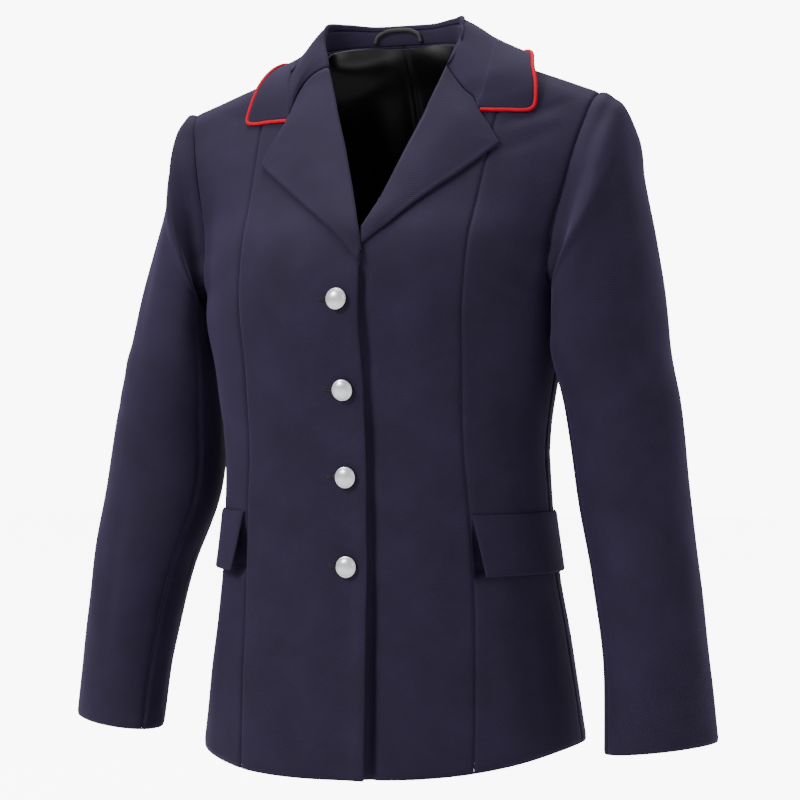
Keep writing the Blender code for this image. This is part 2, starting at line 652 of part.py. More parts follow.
def lathe(name, centre, axis, profile, around, material):
    """A closed turned piece, profile of radius and height along the axis."""
    axis = unit(np.array(axis))
    side = unit(np.cross(axis, np.array([0.0, 0.0, 1.0])))
    other = np.cross(axis, side)
    turns = np.linspace(0.0, 2.0 * math.pi, around, endpoint=False)
    points = [centre + axis * profile[0][1]]
    for radius, height in profile[1:-1]:
        for turn in turns:
            points.append(centre + axis * height + radius * (math.cos(turn) * side + math.sin(turn) * other))
    points.append(centre + axis * profile[-1][1])
    last = len(points) - 1
    faces = []
    for j in range(around):
        k = (j + 1) % around
        faces.append((0, 1 + k, 1 + j))
        top = 1 + (len(profile) - 3) * around
        faces.append((last, top + j, top + k))
        for i in range(len(profile) - 3):
            a = 1 + i * around
            faces.append((a + j, a + k, a + around + k, a + around + j))
    return solid(name, points, faces, material)


# Navy wool, black lining satin, red piping and polished metal
wool = finish("navy_wool_twill", "2E2C3F", 0.85, 0.0)
satin = finish("black_lining_satin", "0B0B0D", 0.35, 0.0)
red = finish("red_piping", "D8142F", 0.60, 0.0)
silver = finish("polished_silver", "E6E7EB", 0.22, 1.0)

SIDES = ((1, "left"), (-1, "right"))
half = SEAM_GAP / 2.0
trees = {}
front_trees = {}
armholes = {}

# Body panels, both halves
for side, word in SIDES:
    front, front_out, back, back_out = half_body(side)
    cut = FRONT_COUNT - 1
    if side == 1:
        reach = ease(-front[..., 0], *UNDERLAP_REACH) * ease(-front[..., 2], *UNDERLAP_DEPTH)
        front = front - front_out * ((CLOTH + LAYER_GAP) * reach)[..., None]
    front_in = front - CLOTH * front_out
    back_in = back - CLOTH * back_out
    pieces = (
        ("front_centre_" + word, front, front_in, slice(0, cut + 1), ("last_column", "last_row")),
        ("front_side_" + word, front, front_in, slice(cut, None), ("first_column", "last_row")),
        ("back_" + word, back, back_in, slice(0, None), ("first_column", "last_row")),
    )
    for name, outer, inner, columns, edges in pieces:
        outer = outer[:, columns]
        inner = inner[:, columns]
        for edge in edges:
            outer = pull(outer, edge, half)
            inner = pull(inner, edge, half)
        if "centre" not in name:
            low = UNDERARM_ROW + 1
            outer[:low] = pull(outer[:low], "last_column", half)
            inner[:low] = pull(inner[:low], "last_column", half)
        wall(name, mirrored(outer, side), mirrored(inner, side), wool)

    # Back lining under the back panel
    lift = CLOTH + LINING_GAP + LINING_EASE * ease(back[..., 2:], *NECK_HEIGHTS)
    satin_out = back - lift * back_out
    satin_in = satin_out - LINING * back_out
    for edge, distance in LINING_EDGES:
        satin_out = pull(satin_out, edge, distance)
        satin_in = pull(satin_in, edge, distance)
    wall("lining_back_" + word, mirrored(satin_out, side), mirrored(satin_in, side), satin)

    trees[side] = tree_of([front[:, ::-1], back])
    front_trees[side] = tree_of([front[:, ::-1]])
    armholes[side] = armhole(front, front_out, back, back_out)

# Two-piece sleeves set into the armholes
for side, word in SIDES:
    ring, out, away = armholes[side]
    outer, inner = sleeve_grid(ring, out, away, side)
    first, last = FRONT_SLEEVE_SEAM, BACK_SLEEVE_SEAM
    around = len(ring)
    spans = (("sleeve_top_" + word, list(range(first, last + 1))),
             ("sleeve_under_" + word, list(range(last, around)) + list(range(0, first + 1))))
    for name, picks in spans:
        piece = outer[:, picks]
        piece_in = inner[:, picks]
        for edge in ("first_column", "last_column"):
            piece = pull(piece, edge, SLEEVE_PULL)
            piece_in = pull(piece_in, edge, SLEEVE_PULL)
        wall(name, mirrored(piece, side), mirrored(piece_in, side), wool)

# Lapels folded back on the fronts
for side, word in SIDES:
    outer, below = lapel_grid(side, front_trees[side])
    outer = pull(outer, "last_row", GORGE_PULL)
    below = pull(below, "last_row", GORGE_PULL)
    wall("lapel_" + word, mirrored(outer, side), mirrored(below, side), wool)

# Collar fall in one piece from notch to notch
left, left_end = collar_lines(1, front_trees[1], COLLAR_COUNT)
right, right_end = collar_lines(-1, front_trees[-1], COLLAR_COUNT)
fall = np.concatenate([mirrored(right, -1)[::-1], left[1:]])
middle = len(fall) // 2
fall[middle, :, 0] = 0.0
fall_out = collar_normals(fall)
fall_in = fall - COLLAR_CLOTH * fall_out
fall_in[0] = mirrored(right_end, -1)
fall_in[-1] = left_end
for edge in ("first_row", "last_row"):
    fall = pull(fall, edge, GORGE_PULL)
    fall_in = pull(fall_in, edge, GORGE_PULL)
wall("collar_fall", fall, fall_in, wool)

# Collar stand inside the neck, under the fold of the fall
stand_low = []
stand_high = []
for side in (-1, 1):
    seam = neck_span(STAND_COUNT)
    table = np.array(COLLAR_ROWS[side])
    steps = np.linspace(0.0, STAND_END, STAND_COUNT)
    roll = np.stack([np.interp(steps, range(len(table)), table[:, k]) for k in range(3)], axis=1)
    low = seam + np.array([0.0, 0.0, STAND_LIFT])
    high = low + (roll - low) * STAND_SHARE
    if side == -1:
        low = mirrored(low, -1)[::-1]
        high = mirrored(high, -1)[::-1]
        stand_low.extend(low)
        stand_high.extend(high)
    else:
        stand_low.extend(low[1:])
        stand_high.extend(high[1:])
stand_low = np.array(stand_low)
stand_high = np.array(stand_high)
stand = np.stack([stand_low, 0.5 * (stand_low + stand_high), stand_high])
stand_out = sheet_normals(stand)
if stand_out[1, len(stand_low) // 2, 1] < 0.0:
    stand_out = -stand_out
wall("collar_stand", stand + CLOTH * stand_out, stand, wool)

# Red piping along the collar ends and the outer edge
notch = GORGE_COUNT - 1
edge = np.concatenate([fall[0, notch:-1], fall[:, -1], fall[-1, notch:-1][::-1]])
out = np.concatenate([fall_out[0, notch:-1], fall_out[:, -1], fall_out[-1, notch:-1][::-1]])
edge[0] += PIPING_START * unit(edge[1] - edge[0])
edge[-1] += PIPING_START * unit(edge[-2] - edge[-1])
along = unit(np.gradient(edge, axis=0))
side_way = unit(np.cross(along, out))
centre = fall[middle, 3]
if np.dot(side_way[len(edge) // 2], edge[len(edge) // 2] - centre) < 0.0:
    side_way = -side_way
path = edge + side_way * (PIPING_WIDE + PIPING_GAP) - out * (0.5 * COLLAR_CLOTH)
tube("collar_piping", path, side_way, out, PIPING_WIDE, PIPING_HIGH, PIPING_AROUND, red)

# Straight pocket flaps from the front seam to the side
for side, word in SIDES:
    tree = trees[side]
    below = np.zeros((FLAP_ROWS, FLAP_COLUMNS, 3))
    above = np.zeros_like(below)
    for i, down in enumerate(np.linspace(0.0, 1.0, FLAP_ROWS)):
        z = FLAP_TOP + (FLAP_BOTTOM - FLAP_TOP) * down
        line = []
        turned = []
        for turn in np.linspace(*FLAP_TURNS):
            way = Vector((math.sin(turn), -math.cos(turn), 0.0))
            place, normal, _, _ = tree.ray_cast(way * FLAP_FAR + Vector((0.0, 0.0, z)), -way)
            line.append(place)
            turned.append(normal if normal.dot(way) > 0.0 else -normal)
        line = np.array(line)
        turned = np.array(turned)
        gaps = np.linalg.norm(np.diff(line, axis=0), axis=1)
        length = np.concatenate(([0.0], np.cumsum(gaps)))
        start = float(np.interp(FLAP_START, line[:FLAP_FRONT, 0], length[:FLAP_FRONT]))
        front_start = start + FLAP_SLANT * down
        for j, share in enumerate(np.linspace(0.0, 1.0, FLAP_COLUMNS)):
            at = front_start + (start + FLAP_LENGTH - front_start) * share
            place = np.array([np.interp(at, length, line[:, k]) for k in range(3)])
            normal = unit(np.array([np.interp(at, length, turned[:, k]) for k in range(3)]))
            lift = FLAP_LIFT[0] + down * (FLAP_LIFT[1] + FLAP_LIFT[2] * (1.0 - share) ** 2)
            below[i, j] = place + normal * lift
            above[i, j] = place + normal * (lift + CLOTH)
    wall("pocket_flap_" + word, mirrored(above, side), mirrored(below, side), wool)

# Four domed shank buttons on the centre front
for number, height in enumerate(BUTTON_HEIGHTS, start=1):
    place, normal = drop(front_trees[-1], 0.0, height)
    lathe("button_%d" % number, place, normal, BUTTON_PROFILE, BUTTON_AROUND, silver)

# Satin hanger loop in the back neck
loop = edge_line(LOOP, LOOP_PARTS)
along = unit(np.gradient(loop, axis=0))
forward = np.tile(np.array([0.0, -1.0, 0.0]), (len(loop), 1))
upward = unit(np.cross(forward, along))
tube("hanger_loop", loop, upward, unit(np.cross(along, upward)), LOOP_WIDE, LOOP_HIGH, LOOP_AROUND, satin)
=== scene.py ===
"""Looks of a woman's fire service dress jacket, filled out with no wearer.

Metres, +Z up, the jacket faces -Y and the wearer's left is +X.
Each half is worked out as if it were the wearer's left and then mirrored.
"""

import math

import bmesh
import bpy
import numpy as np
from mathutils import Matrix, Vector
from mathutils.bvhtree import BVHTree


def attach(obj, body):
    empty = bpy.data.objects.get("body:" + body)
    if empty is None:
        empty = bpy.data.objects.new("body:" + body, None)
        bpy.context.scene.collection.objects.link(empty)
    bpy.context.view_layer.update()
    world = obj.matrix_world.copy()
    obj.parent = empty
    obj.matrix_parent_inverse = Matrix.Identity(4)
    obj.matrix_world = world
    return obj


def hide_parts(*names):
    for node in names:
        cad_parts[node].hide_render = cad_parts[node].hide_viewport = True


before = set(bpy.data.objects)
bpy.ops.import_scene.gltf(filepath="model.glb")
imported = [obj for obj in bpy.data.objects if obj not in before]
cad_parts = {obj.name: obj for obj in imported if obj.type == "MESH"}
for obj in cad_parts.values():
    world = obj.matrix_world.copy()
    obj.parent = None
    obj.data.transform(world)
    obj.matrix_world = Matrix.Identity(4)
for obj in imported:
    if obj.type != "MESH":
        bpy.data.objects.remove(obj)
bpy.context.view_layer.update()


# Body panels
# Centre fronts, side fronts and backs cut from fine navy wool twill about 2 mm thick with its facing.
# They meet in pressed shoulder-princess, side, shoulder and centre back seams, and the right front laps over.
CLOTH = 0.0020
SEAM_GAP = 0.00008
LAYER_GAP = 0.0008
OVERLAP = 0.0195
NECK_HALF = 0.070
NECK_DEPTH = 0.034
NECK_RISE = 0.008
NECK_Y = 0.012
NECK_ROUND = 0.050
WHOLE = 1.0
HEM_LEAN = ((0, 0.0060), (1, 0.0050), (2, 0.0035), (3, 0.0020), (4, 0.0008), (6, 0.0))
HEM_HALF = 0.190
HEM_POWER = 3.0
SHOULDER_DROP = 0.0045
DROP_REACH = (0.070, 0.130)
DROP_SECTIONS = (9.0, 13.0)
ROW_PARTS = (16,) * 6 + (10,) * 8
UNDERARM_SECTION = 6
NEAR_EDGE = (0.0, 0.003, 0.008, 0.016, 0.028, 0.044)
PANEL_MIDDLE = 32
ROLL_BACK = 0.0036
SIDES = ((1, "left"), (-1, "right"))
WOOL_DARK = "110C1B"
WOOL_LIGHT = "2A203D"
TWILL_RIB = 1.7
TWILL_LEAN = math.radians(63.0)

# Front sections from hem to shoulder seam, as the solids have them
FRONT_COLUMNS = ("mid_z", "side_z", "half", "side_y", "mid_y", "power", "princess", "arm")
FRONT_ROWS = (
    (-0.6940, -0.6725, 0.1925, 0.0115, -0.1150, 2.00, 0.117, 1.0),
    (-0.6000, -0.5900, 0.1805, 0.0090, -0.1115, 2.05, 0.1165, 1.0),
    (-0.5050, -0.5000, 0.1668, 0.0040, -0.1085, 2.20, 0.114, 1.0),
    (-0.4450, -0.4430, 0.1625, 0.0000, -0.1095, 2.30, 0.111, 1.0),
    (-0.3900, -0.3900, 0.1600, -0.0020, -0.1120, 2.40, 0.1075, 1.0),
    (-0.3200, -0.3200, 0.1690, -0.0030, -0.1210, 2.25, 0.108, 1.0),
    (-0.2520, -0.2520, 0.1810, -0.0040, -0.1335, 2.05, 0.111, 1.0),
    (-0.2280, -0.2325, 0.1840, -0.0040, -0.1315, 2.00, 0.112, 0.1755),
    (-0.1850, -0.1990, 0.1890, 0.0000, -0.1180, 2.00, 0.113, 0.1755),
    (-0.1450, -0.1720, 0.1970, -0.0020, -0.0930, 2.00, 0.115, 0.1800),
    (-0.1050, -0.1455, 0.2050, -0.0100, -0.0690, 2.00, 0.117, 0.1870),
    (-0.0620, -0.1160, 0.2120, -0.0150, -0.0450, 2.00, 0.119, 0.1935),
    (-0.0280, -0.0885, 0.2150, -0.0120, -0.0240, 2.00, 0.122, 0.2000),
    (0.0020, -0.0645, 0.2160, -0.0020, -0.0060, 2.00, 0.126, 0.2060),
    (0.0142, -0.0540, 0.2170, 0.0115, 0.0115, 2.00, 0.129, 0.2090),
)
BACK_COLUMNS = ("mid_z", "side_z", "half", "side_y", "mid_y", "power", "neck", "princess", "arm")
BACK_ROWS = (
    (-0.6600, -0.6725, 0.1925, 0.0115, 0.1380, 2.10, 0.0, 0.085, 1.0),
    (-0.5840, -0.5900, 0.1805, 0.0090, 0.1320, 2.10, 0.0, 0.082, 1.0),
    (-0.4950, -0.5000, 0.1668, 0.0040, 0.1200, 2.10, 0.0, 0.078, 1.0),
    (-0.4410, -0.4430, 0.1625, 0.0000, 0.1100, 2.15, 0.0, 0.076, 1.0),
    (-0.3900, -0.3900, 0.1600, -0.0020, 0.1050, 2.20, 0.0, 0.075, 1.0),
    (-0.3200, -0.3200, 0.1690, -0.0030, 0.1100, 2.20, 0.0, 0.076, 1.0),
    (-0.2520, -0.2520, 0.1810, -0.0040, 0.1180, 2.15, 0.0, 0.080, 1.0),
    (-0.2300, -0.2345, 0.1840, -0.0020, 0.1185, 2.10, 0.0, 0.080, 0.1785),
    (-0.1900, -0.2050, 0.1890, 0.0060, 0.1160, 2.00, 0.0, 0.080, 0.1785),
    (-0.1500, -0.1800, 0.1970, 0.0140, 0.1100, 2.00, 0.0, 0.079, 0.1825),
    (-0.1080, -0.1500, 0.2050, 0.0240, 0.0980, 2.00, 0.0, 0.077, 0.1890),
    (-0.0660, -0.1200, 0.2120, 0.0300, 0.0800, 2.00, 0.004, 0.075, 0.1970),
    (-0.0300, -0.0900, 0.2150, 0.0280, 0.0580, 2.00, 0.011, 0.072, 0.2040),
    (-0.0020, -0.0670, 0.2160, 0.0220, 0.0270, 2.00, 0.024, 0.070, 0.2080),
    (0.0142, -0.0540, 0.2170, 0.0115, 0.0115, 2.00, 0.0, 0.070, 0.2090),
)
ROLL_RIGHT = ((-0.203, -0.0195), (-0.187, -0.0160), (-0.169, -0.0095), (-0.1412, 0.0020),
              (-0.1064, 0.0165), (-0.0531, 0.0395), (-0.0194, 0.0557), (0.0, 0.070))
ROLL_LEFT = ((-0.245, -0.0195), (-0.215, -0.004), (-0.183, 0.0155), (-0.158, 0.0270), (-0.132, 0.0350),
             (-0.104, 0.0430), (-0.0736, 0.0525), (-0.0467, 0.0585), (-0.0219, 0.0650), (0.0, 0.070))
ROLL = {1: ROLL_LEFT, -1: ROLL_RIGHT}

# Soft troughs and ridges, listed one by one: ends in distance from the centre and height,
# then half width and height of the fold. The two fronts differ a little, as cloth does.
FRONT_FOLDS = {
    1: ((0.135, -0.080, 0.185, -0.062, 0.005, -0.0011), (0.128, -0.092, 0.180, -0.079, 0.006, 0.0011),
        (0.125, -0.110, 0.165, -0.098, 0.006, -0.0009), (0.050, -0.360, 0.105, -0.395, 0.012, -0.0008),
        (0.150, -0.372, 0.118, -0.380, 0.007, -0.0012), (0.155, -0.402, 0.120, -0.396, 0.007, -0.0010),
        (0.157, -0.425, 0.130, -0.430, 0.008, 0.0009), (0.075, -0.530, 0.085, -0.690, 0.020, -0.0016),
        (0.135, -0.520, 0.150, -0.680, 0.014, 0.0018), (0.160, -0.540, 0.176, -0.665, 0.008, -0.0022),
        (0.040, -0.520, 0.045, -0.690, 0.018, 0.0012), (0.165, -0.130, 0.160, -0.260, 0.010, -0.0016),
        (0.060, -0.250, 0.100, -0.330, 0.018, 0.0010)),
    -1: ((0.020, -0.226, 0.045, -0.214, 0.014, 0.0016), (0.015, -0.300, 0.060, -0.318, 0.010, 0.0006),
         (0.150, -0.365, 0.112, -0.372, 0.007, -0.0012), (0.152, -0.395, 0.118, -0.401, 0.007, -0.0010),
         (0.050, -0.375, 0.100, -0.400, 0.012, -0.0008), (0.060, -0.545, 0.052, -0.690, 0.020, -0.0014),
         (0.100, -0.540, 0.104, -0.690, 0.014, 0.0014), (0.150, -0.520, 0.166, -0.670, 0.012, 0.0018),
         (0.166, -0.140, 0.158, -0.250, 0.010, -0.0016), (0.130, -0.070, 0.180, -0.056, 0.006, -0.0006),
         (0.125, -0.120, 0.160, -0.105, 0.007, 0.0006)),
}
BACK_FOLDS = {
    1: ((0.020, -0.372, 0.080, -0.384, 0.009, -0.0012), (0.030, -0.398, 0.090, -0.404, 0.008, 0.0009),
        (0.120, -0.385, 0.155, -0.392, 0.007, -0.0012), (0.060, -0.500, 0.070, -0.660, 0.018, 0.0020),
        (0.115, -0.520, 0.130, -0.670, 0.016, -0.0020), (0.160, -0.200, 0.150, -0.310, 0.012, -0.0018),
        (0.100, -0.120, 0.150, -0.170, 0.014, 0.0010)),
    -1: ((0.015, -0.380, 0.070, -0.376, 0.009, -0.0012), (0.040, -0.405, 0.100, -0.396, 0.008, 0.0010),
         (0.125, -0.378, 0.156, -0.384, 0.007, -0.0012), (0.055, -0.510, 0.058, -0.660, 0.018, -0.0018),
         (0.110, -0.510, 0.124, -0.670, 0.016, 0.0020), (0.162, -0.195, 0.154, -0.300, 0.012, -0.0018),
         (0.090, -0.130, 0.140, -0.175, 0.014, 0.0009)),
}
# Slow unevenness of the cloth: steps to the metre across and up, and the place where it starts
UNEVEN = ((17.0, 9.0, 0.3), (31.0, 14.0, 1.7), (9.0, 23.0, 4.1), (52.0, 37.0, 2.2))
UNEVEN_HEIGHT = 0.00022
# The lapped edge stands off between the buttons, and the left front sinks away beside it
EDGE_STAND = (0.0022, 0.0030)
EDGE_TROUGH = (0.0036, 0.0030)
EDGE_PRESS = 0.0080
TROUGH_PLACE = 0.0220
TROUGH_HALF = 0.0060
ARMHOLE_DIP = 0.0003
BUTTON_HEIGHTS = (-0.250, -0.333, -0.414, -0.497)
FLAP_TOP = -0.4480
FLAP_BOTTOM = -0.5050
MOUTH_DEPTH = 0.0090
# Width across the grain, length along it and area of the cut
FRONT_CENTRE_CUT = (0.165, 0.740, 0.0865)
FRONT_SIDE_CUT = (0.160, 0.690, 0.0712)
BACK_CUT = (0.275, 0.700, 0.1510)


def smooth(knots, values, at):
    """A cubic through the values, one entry of values to a knot."""
    knots = np.asarray(knots, float)
    values = np.asarray(values, float)
    at = np.clip(np.atleast_1d(np.asarray(at, float)), knots[0], knots[-1])
    slopes = np.gradient(values, knots, axis=0)
    low = np.clip(np.searchsorted(knots, at, side="right") - 1, 0, len(knots) - 2)
    shape = (-1,) + (1,) * (values.ndim - 1)
    step = (knots[low + 1] - knots[low]).reshape(shape)
    part = ((at - knots[low]) / (knots[low + 1] - knots[low])).reshape(shape)
    return ((1 + 2 * part) * (1 - part) ** 2 * values[low]
            + part * (1 - part) ** 2 * step * slopes[low]
            + part ** 2 * (3 - 2 * part) * values[low + 1]
            + part ** 2 * (part - 1) * step * slopes[low + 1])


def ease(value, low, high):
    """Zero below low, one above high, soft between."""
    part = np.clip((value - low) / (high - low), 0.0, 1.0)
    return part * part * (3.0 - 2.0 * part)


def bell(away, width):
    """One where away is zero, falling off softly over a width to both sides."""
    return np.exp(-(away / width) ** 2)


def look_up(at, table):
    """Second column of a table at places in its first column."""
    return np.interp(at, [row[0] for row in table], [row[1] for row in table])


def softened(line, times):
    """A line of points or values with its ends held and the rest evened out a number of times."""
    line = line.copy()
    for _ in range(times):
        line[1:-1] = 0.25 * line[:-2] + 0.5 * line[1:-1] + 0.25 * line[2:]
    return line


def unit(vectors):
    """Vectors at length one."""
    return vectors / np.maximum(np.linalg.norm(vectors, axis=-1, keepdims=True), 1e-9)


def square_to(vectors, others):
    """Unit vectors turned to stand square to others."""
    return unit(vectors - np.sum(vectors * others, axis=1)[:, None] * others)


def length_along(points):
    """Distance from the first point of a line to each point."""
    gaps = np.linalg.norm(np.diff(points, axis=0), axis=1)
    return np.concatenate(([0.0], np.cumsum(gaps)))


def points_at(values, length, at):
    """The values of a line at distances along it."""
    return np.stack([np.interp(at, length, values[:, k]) for k in range(values.shape[1])], axis=1)


def place_along(points, shares):
    """Points at shares of the length of a line."""
    length = length_along(points)
    return points_at(points, length, np.asarray(shares) * length[-1])


def close_at_edges(middle):
    """Shares across a panel, closer together by its two edges."""
    near = np.array(NEAR_EDGE)
    inside = np.linspace(near[-1], 1.0 - near[-1], middle + 2)[1:-1]
    return np.concatenate([near, inside, 1.0 - near[::-1]])


def section_height(row, x):
    """Height of a body section at a distance from the centre."""
    if row["arm"] == WHOLE:
        return row["mid_z"] + (row["side_z"] - row["mid_z"]) * np.abs(x / row["half"]) ** HEM_POWER
    full = math.hypot(row["half"], NECK_ROUND) - NECK_ROUND
    return row["mid_z"] + (row["side_z"] - row["mid_z"]) * (np.hypot(x, NECK_ROUND) - NECK_ROUND) / full


def section_span(row, start, end, shares):
    """Part of a body section between two distances from the centre."""
    first = math.asin(max(-1.0, min(1.0, start / row["half"])))
    last = math.asin(max(-1.0, min(1.0, end / row["half"])))
    x = row["half"] * np.sin(np.linspace(first, last, 120))
    share = np.clip(1.0 - np.minimum(np.abs(x) / row["half"], 1.0) ** row["power"], 0.0, 1.0)
    y = row["side_y"] + (row["mid_y"] - row["side_y"]) * share ** (1.0 / row["power"])
    y = y + row.get("neck", 0.0) * bell(x, NECK_ROUND)
    return place_along(np.stack([x, y, section_height(row, x)], axis=1), shares)


def neck_line(shares):
    """The back neck seam from the centre back to the side neck."""
    turn = np.linspace(0.0, math.pi / 2, 90)
    points = np.stack([NECK_HALF * np.sin(turn), NECK_Y + NECK_DEPTH * np.cos(turn),
                       NECK_RISE * np.cos(turn)], axis=1)
    return place_along(points, shares)


def front_start(row, roll):
    """Where a front section meets the front edge, or the inside of the lapel fold."""
    x = -OVERLAP
    for _ in range(30):
        z = section_height(row, x)
        x = 0.5 * x + 0.5 * float(look_up(z, roll))
    return x + ROLL_BACK * ease(z, roll[0][0], roll[0][0] + 0.03)


def half_sheet(rows, columns, roll, shares):
    """Sections of the front or the back from the centre to the side."""
    lines = []
    for index, values in enumerate(rows):
        row = dict(zip(columns, values))
        start = front_start(row, roll) if roll else 0.0
        if roll is None and index == len(rows) - 1:
            inner = neck_line(shares)
        else:
            inner = section_span(row, start, row["princess"], shares)
        outer = section_span(row, row["princess"], min(row["arm"], row["half"]), shares)
        lines.append(np.concatenate([inner, outer[1:]]))
    return np.array(lines)


def more_rows(lines, guide, parts):
    """More sections between the given ones, spaced along a guide line with a number of parts for each gap."""
    knots = length_along(guide)
    at = [knots[0]]
    for low, high, count in zip(knots[:-1], knots[1:], parts):
        at.extend(np.linspace(low, high, count + 1)[1:])
    return smooth(knots, lines, at)


def sheet_normals(grid):
    """Directions square to a grid whose rows run up and columns run outward."""
    return unit(np.cross(np.gradient(grid, axis=0), np.gradient(grid, axis=1)))


def fold_heights(across, up, folds):
    """Height of the listed folds at places given by two distances."""
    total = np.zeros(across.shape)
    for x0, z0, x1, z1, width, height in folds:
        run = math.hypot(x1 - x0, z1 - z0)
        along = ((across - x0) * (x1 - x0) + (up - z0) * (z1 - z0)) / run
        aside = ((across - x0) * (z1 - z0) - (up - z0) * (x1 - x0)) / run
        inside = np.clip(along / run, 0.0, 1.0)
        beyond = np.maximum(0.0, np.maximum(-along, along - run))
        swell = 0.35 + 0.65 * np.sin(math.pi * inside) ** 0.7
        total += height * swell * np.exp(-(aside / width) ** 2 - (beyond / (1.6 * width)) ** 2)
    return total


def uneven(across, up):
    """Slow unevenness of pressed cloth."""
    total = np.zeros(across.shape)
    for wide, tall, start in UNEVEN:
        total += np.sin(across * wide * 2.0 + start) * np.sin(up * tall * 2.0 + 1.3 * start + 3.0 * across)
    return UNEVEN_HEIGHT * total


def edge_distance(grid, edge):
    """Distance of every point of a grid from one of its edges, measured on the cloth."""
    axis = 1 if "column" in edge else 0
    steps = np.linalg.norm(np.diff(grid, axis=axis), axis=2)
    if "last" in edge:
        steps = np.flip(steps, axis)
    total = np.cumsum(steps, axis=axis)
    zero = np.zeros_like(total[:, :1] if axis else total[:1])
    total = np.concatenate([zero, total], axis=axis)
    return np.flip(total, axis) if "last" in edge else total


def from_edges(grid, edges, most=1.0):
    """Distance of every point from the nearest of the edges."""
    away = np.full(grid.shape[:2], most)
    for edge in edges:
        away = np.minimum(away, edge_distance(grid, edge))
    return away


def seam_dip(grid, edges, depth=0.0015, reach=0.0016):
    """Depth of the pressed seam beside each of the edges, with the ridge of its turnings."""
    total = np.zeros(grid.shape[:2])
    for edge in edges:
        away = edge_distance(grid, edge)
        total -= depth * bell(away, reach)
        total += 0.00018 * ease(away, 0.001, 0.004) * ease(0.0135 - away, 0.0, 0.0035)
    return total


def pull(grid, edge, distance):
    """Move one edge of a grid back along the grid, to leave a seam gap."""
    grid = grid.copy()
    pairs = {"first_column": ((slice(None), 0), (slice(None), 1)),
             "last_column": ((slice(None), -1), (slice(None), -2)),
             "last_row": ((-1,), (-2,)), "first_row": ((0,), (1,))}
    at, toward = pairs[edge]
    grid[at] = grid[at] + distance * unit(grid[toward] - grid[at])
    return grid


def mirrored(grid, side):
    """The grid on its own side of the body."""
    grid = grid.copy()
    grid[..., 0] *= side
    return grid


def joined_mesh(name, points, faces, flat=None):
    """A smooth piece with its faces turned outward, and a UV map where flat places are given."""
    mesh = bpy.data.meshes.new(name)
    mesh.from_pydata(points.tolist(), [], faces)
    if flat is not None:
        corners = np.empty(len(mesh.loops), np.int32)
        mesh.loops.foreach_get("vertex_index", corners)
        mesh.uv_layers.new(name="cloth_mm").data.foreach_set("uv", flat[corners].astype(np.float32).ravel())
    work = bmesh.new()
    work.from_mesh(mesh)
    bmesh.ops.recalc_face_normals(work, faces=work.faces)
    for face in work.faces:
        face.smooth = True
    work.to_mesh(mesh)
    work.free()
    item = bpy.data.objects.new(name, mesh)
    bpy.context.collection.objects.link(item)
    return item


def wall(name, outer, inner, side=1):
    """A closed thin wall between two grids, with the cloth's own millimetres as its UV map."""
    rows, columns = outer.shape[:2]
    count = rows * columns
    index = np.arange(count).reshape(rows, columns)
    near = np.stack([index[:-1, :-1], index[:-1, 1:], index[1:, 1:], index[1:, :-1]], axis=-1).reshape(-1, 4)
    rim = np.concatenate([index[0], index[1:, -1], index[-1, -2::-1], index[-2:0:-1, 0]])
    after = np.roll(rim, -1)
    edge = np.stack([after, rim, rim + count, after + count], axis=-1)
    faces = np.concatenate([near, near[:, ::-1] + count, edge])
    points = np.concatenate([outer.reshape(-1, 3), inner.reshape(-1, 3)])
    middle = columns // 2
    across = edge_distance(outer, "first_column")
    across = side * (across - across[:, middle:middle + 1]) * 1000.0
    up = np.repeat(length_along(outer[:, middle])[:, None], columns, axis=1) * 1000.0
    flat = np.stack([across, up], axis=-1).reshape(-1, 2)
    return joined_mesh(name, points, faces.tolist(), np.concatenate([flat, flat]))


def colour(text):
    """A hex sRGB colour as linear values."""
    values = [int(text[i:i + 2], 16) / 255.0 for i in (0, 2, 4)]
    return tuple(v / 12.92 if v <= 0.04045 else ((v + 0.055) / 1.055) ** 2.4 for v in values) + (1.0,)


def set_inputs(tree, node, inputs):
    """Set the named inputs of a node, or link them where another node's output is given."""
    for name, value in inputs.items():
        if isinstance(value, bpy.types.NodeSocket):
            tree.links.new(value, node.inputs[name])
        else:
            node.inputs[name].default_value = value


def add_node(tree, kind, inputs=None, **settings):
    """A node with its settings, and its inputs set or linked."""
    node = tree.nodes.new(kind)
    for name, value in settings.items():
        setattr(node, name, value)
    set_inputs(tree, node, inputs or {})
    return node


def new_finish(name):
    """A new material with its node tree and its shader."""
    material = bpy.data.materials.new(name)
    material.use_nodes = True
    return material, material.node_tree, material.node_tree.nodes["Principled BSDF"]


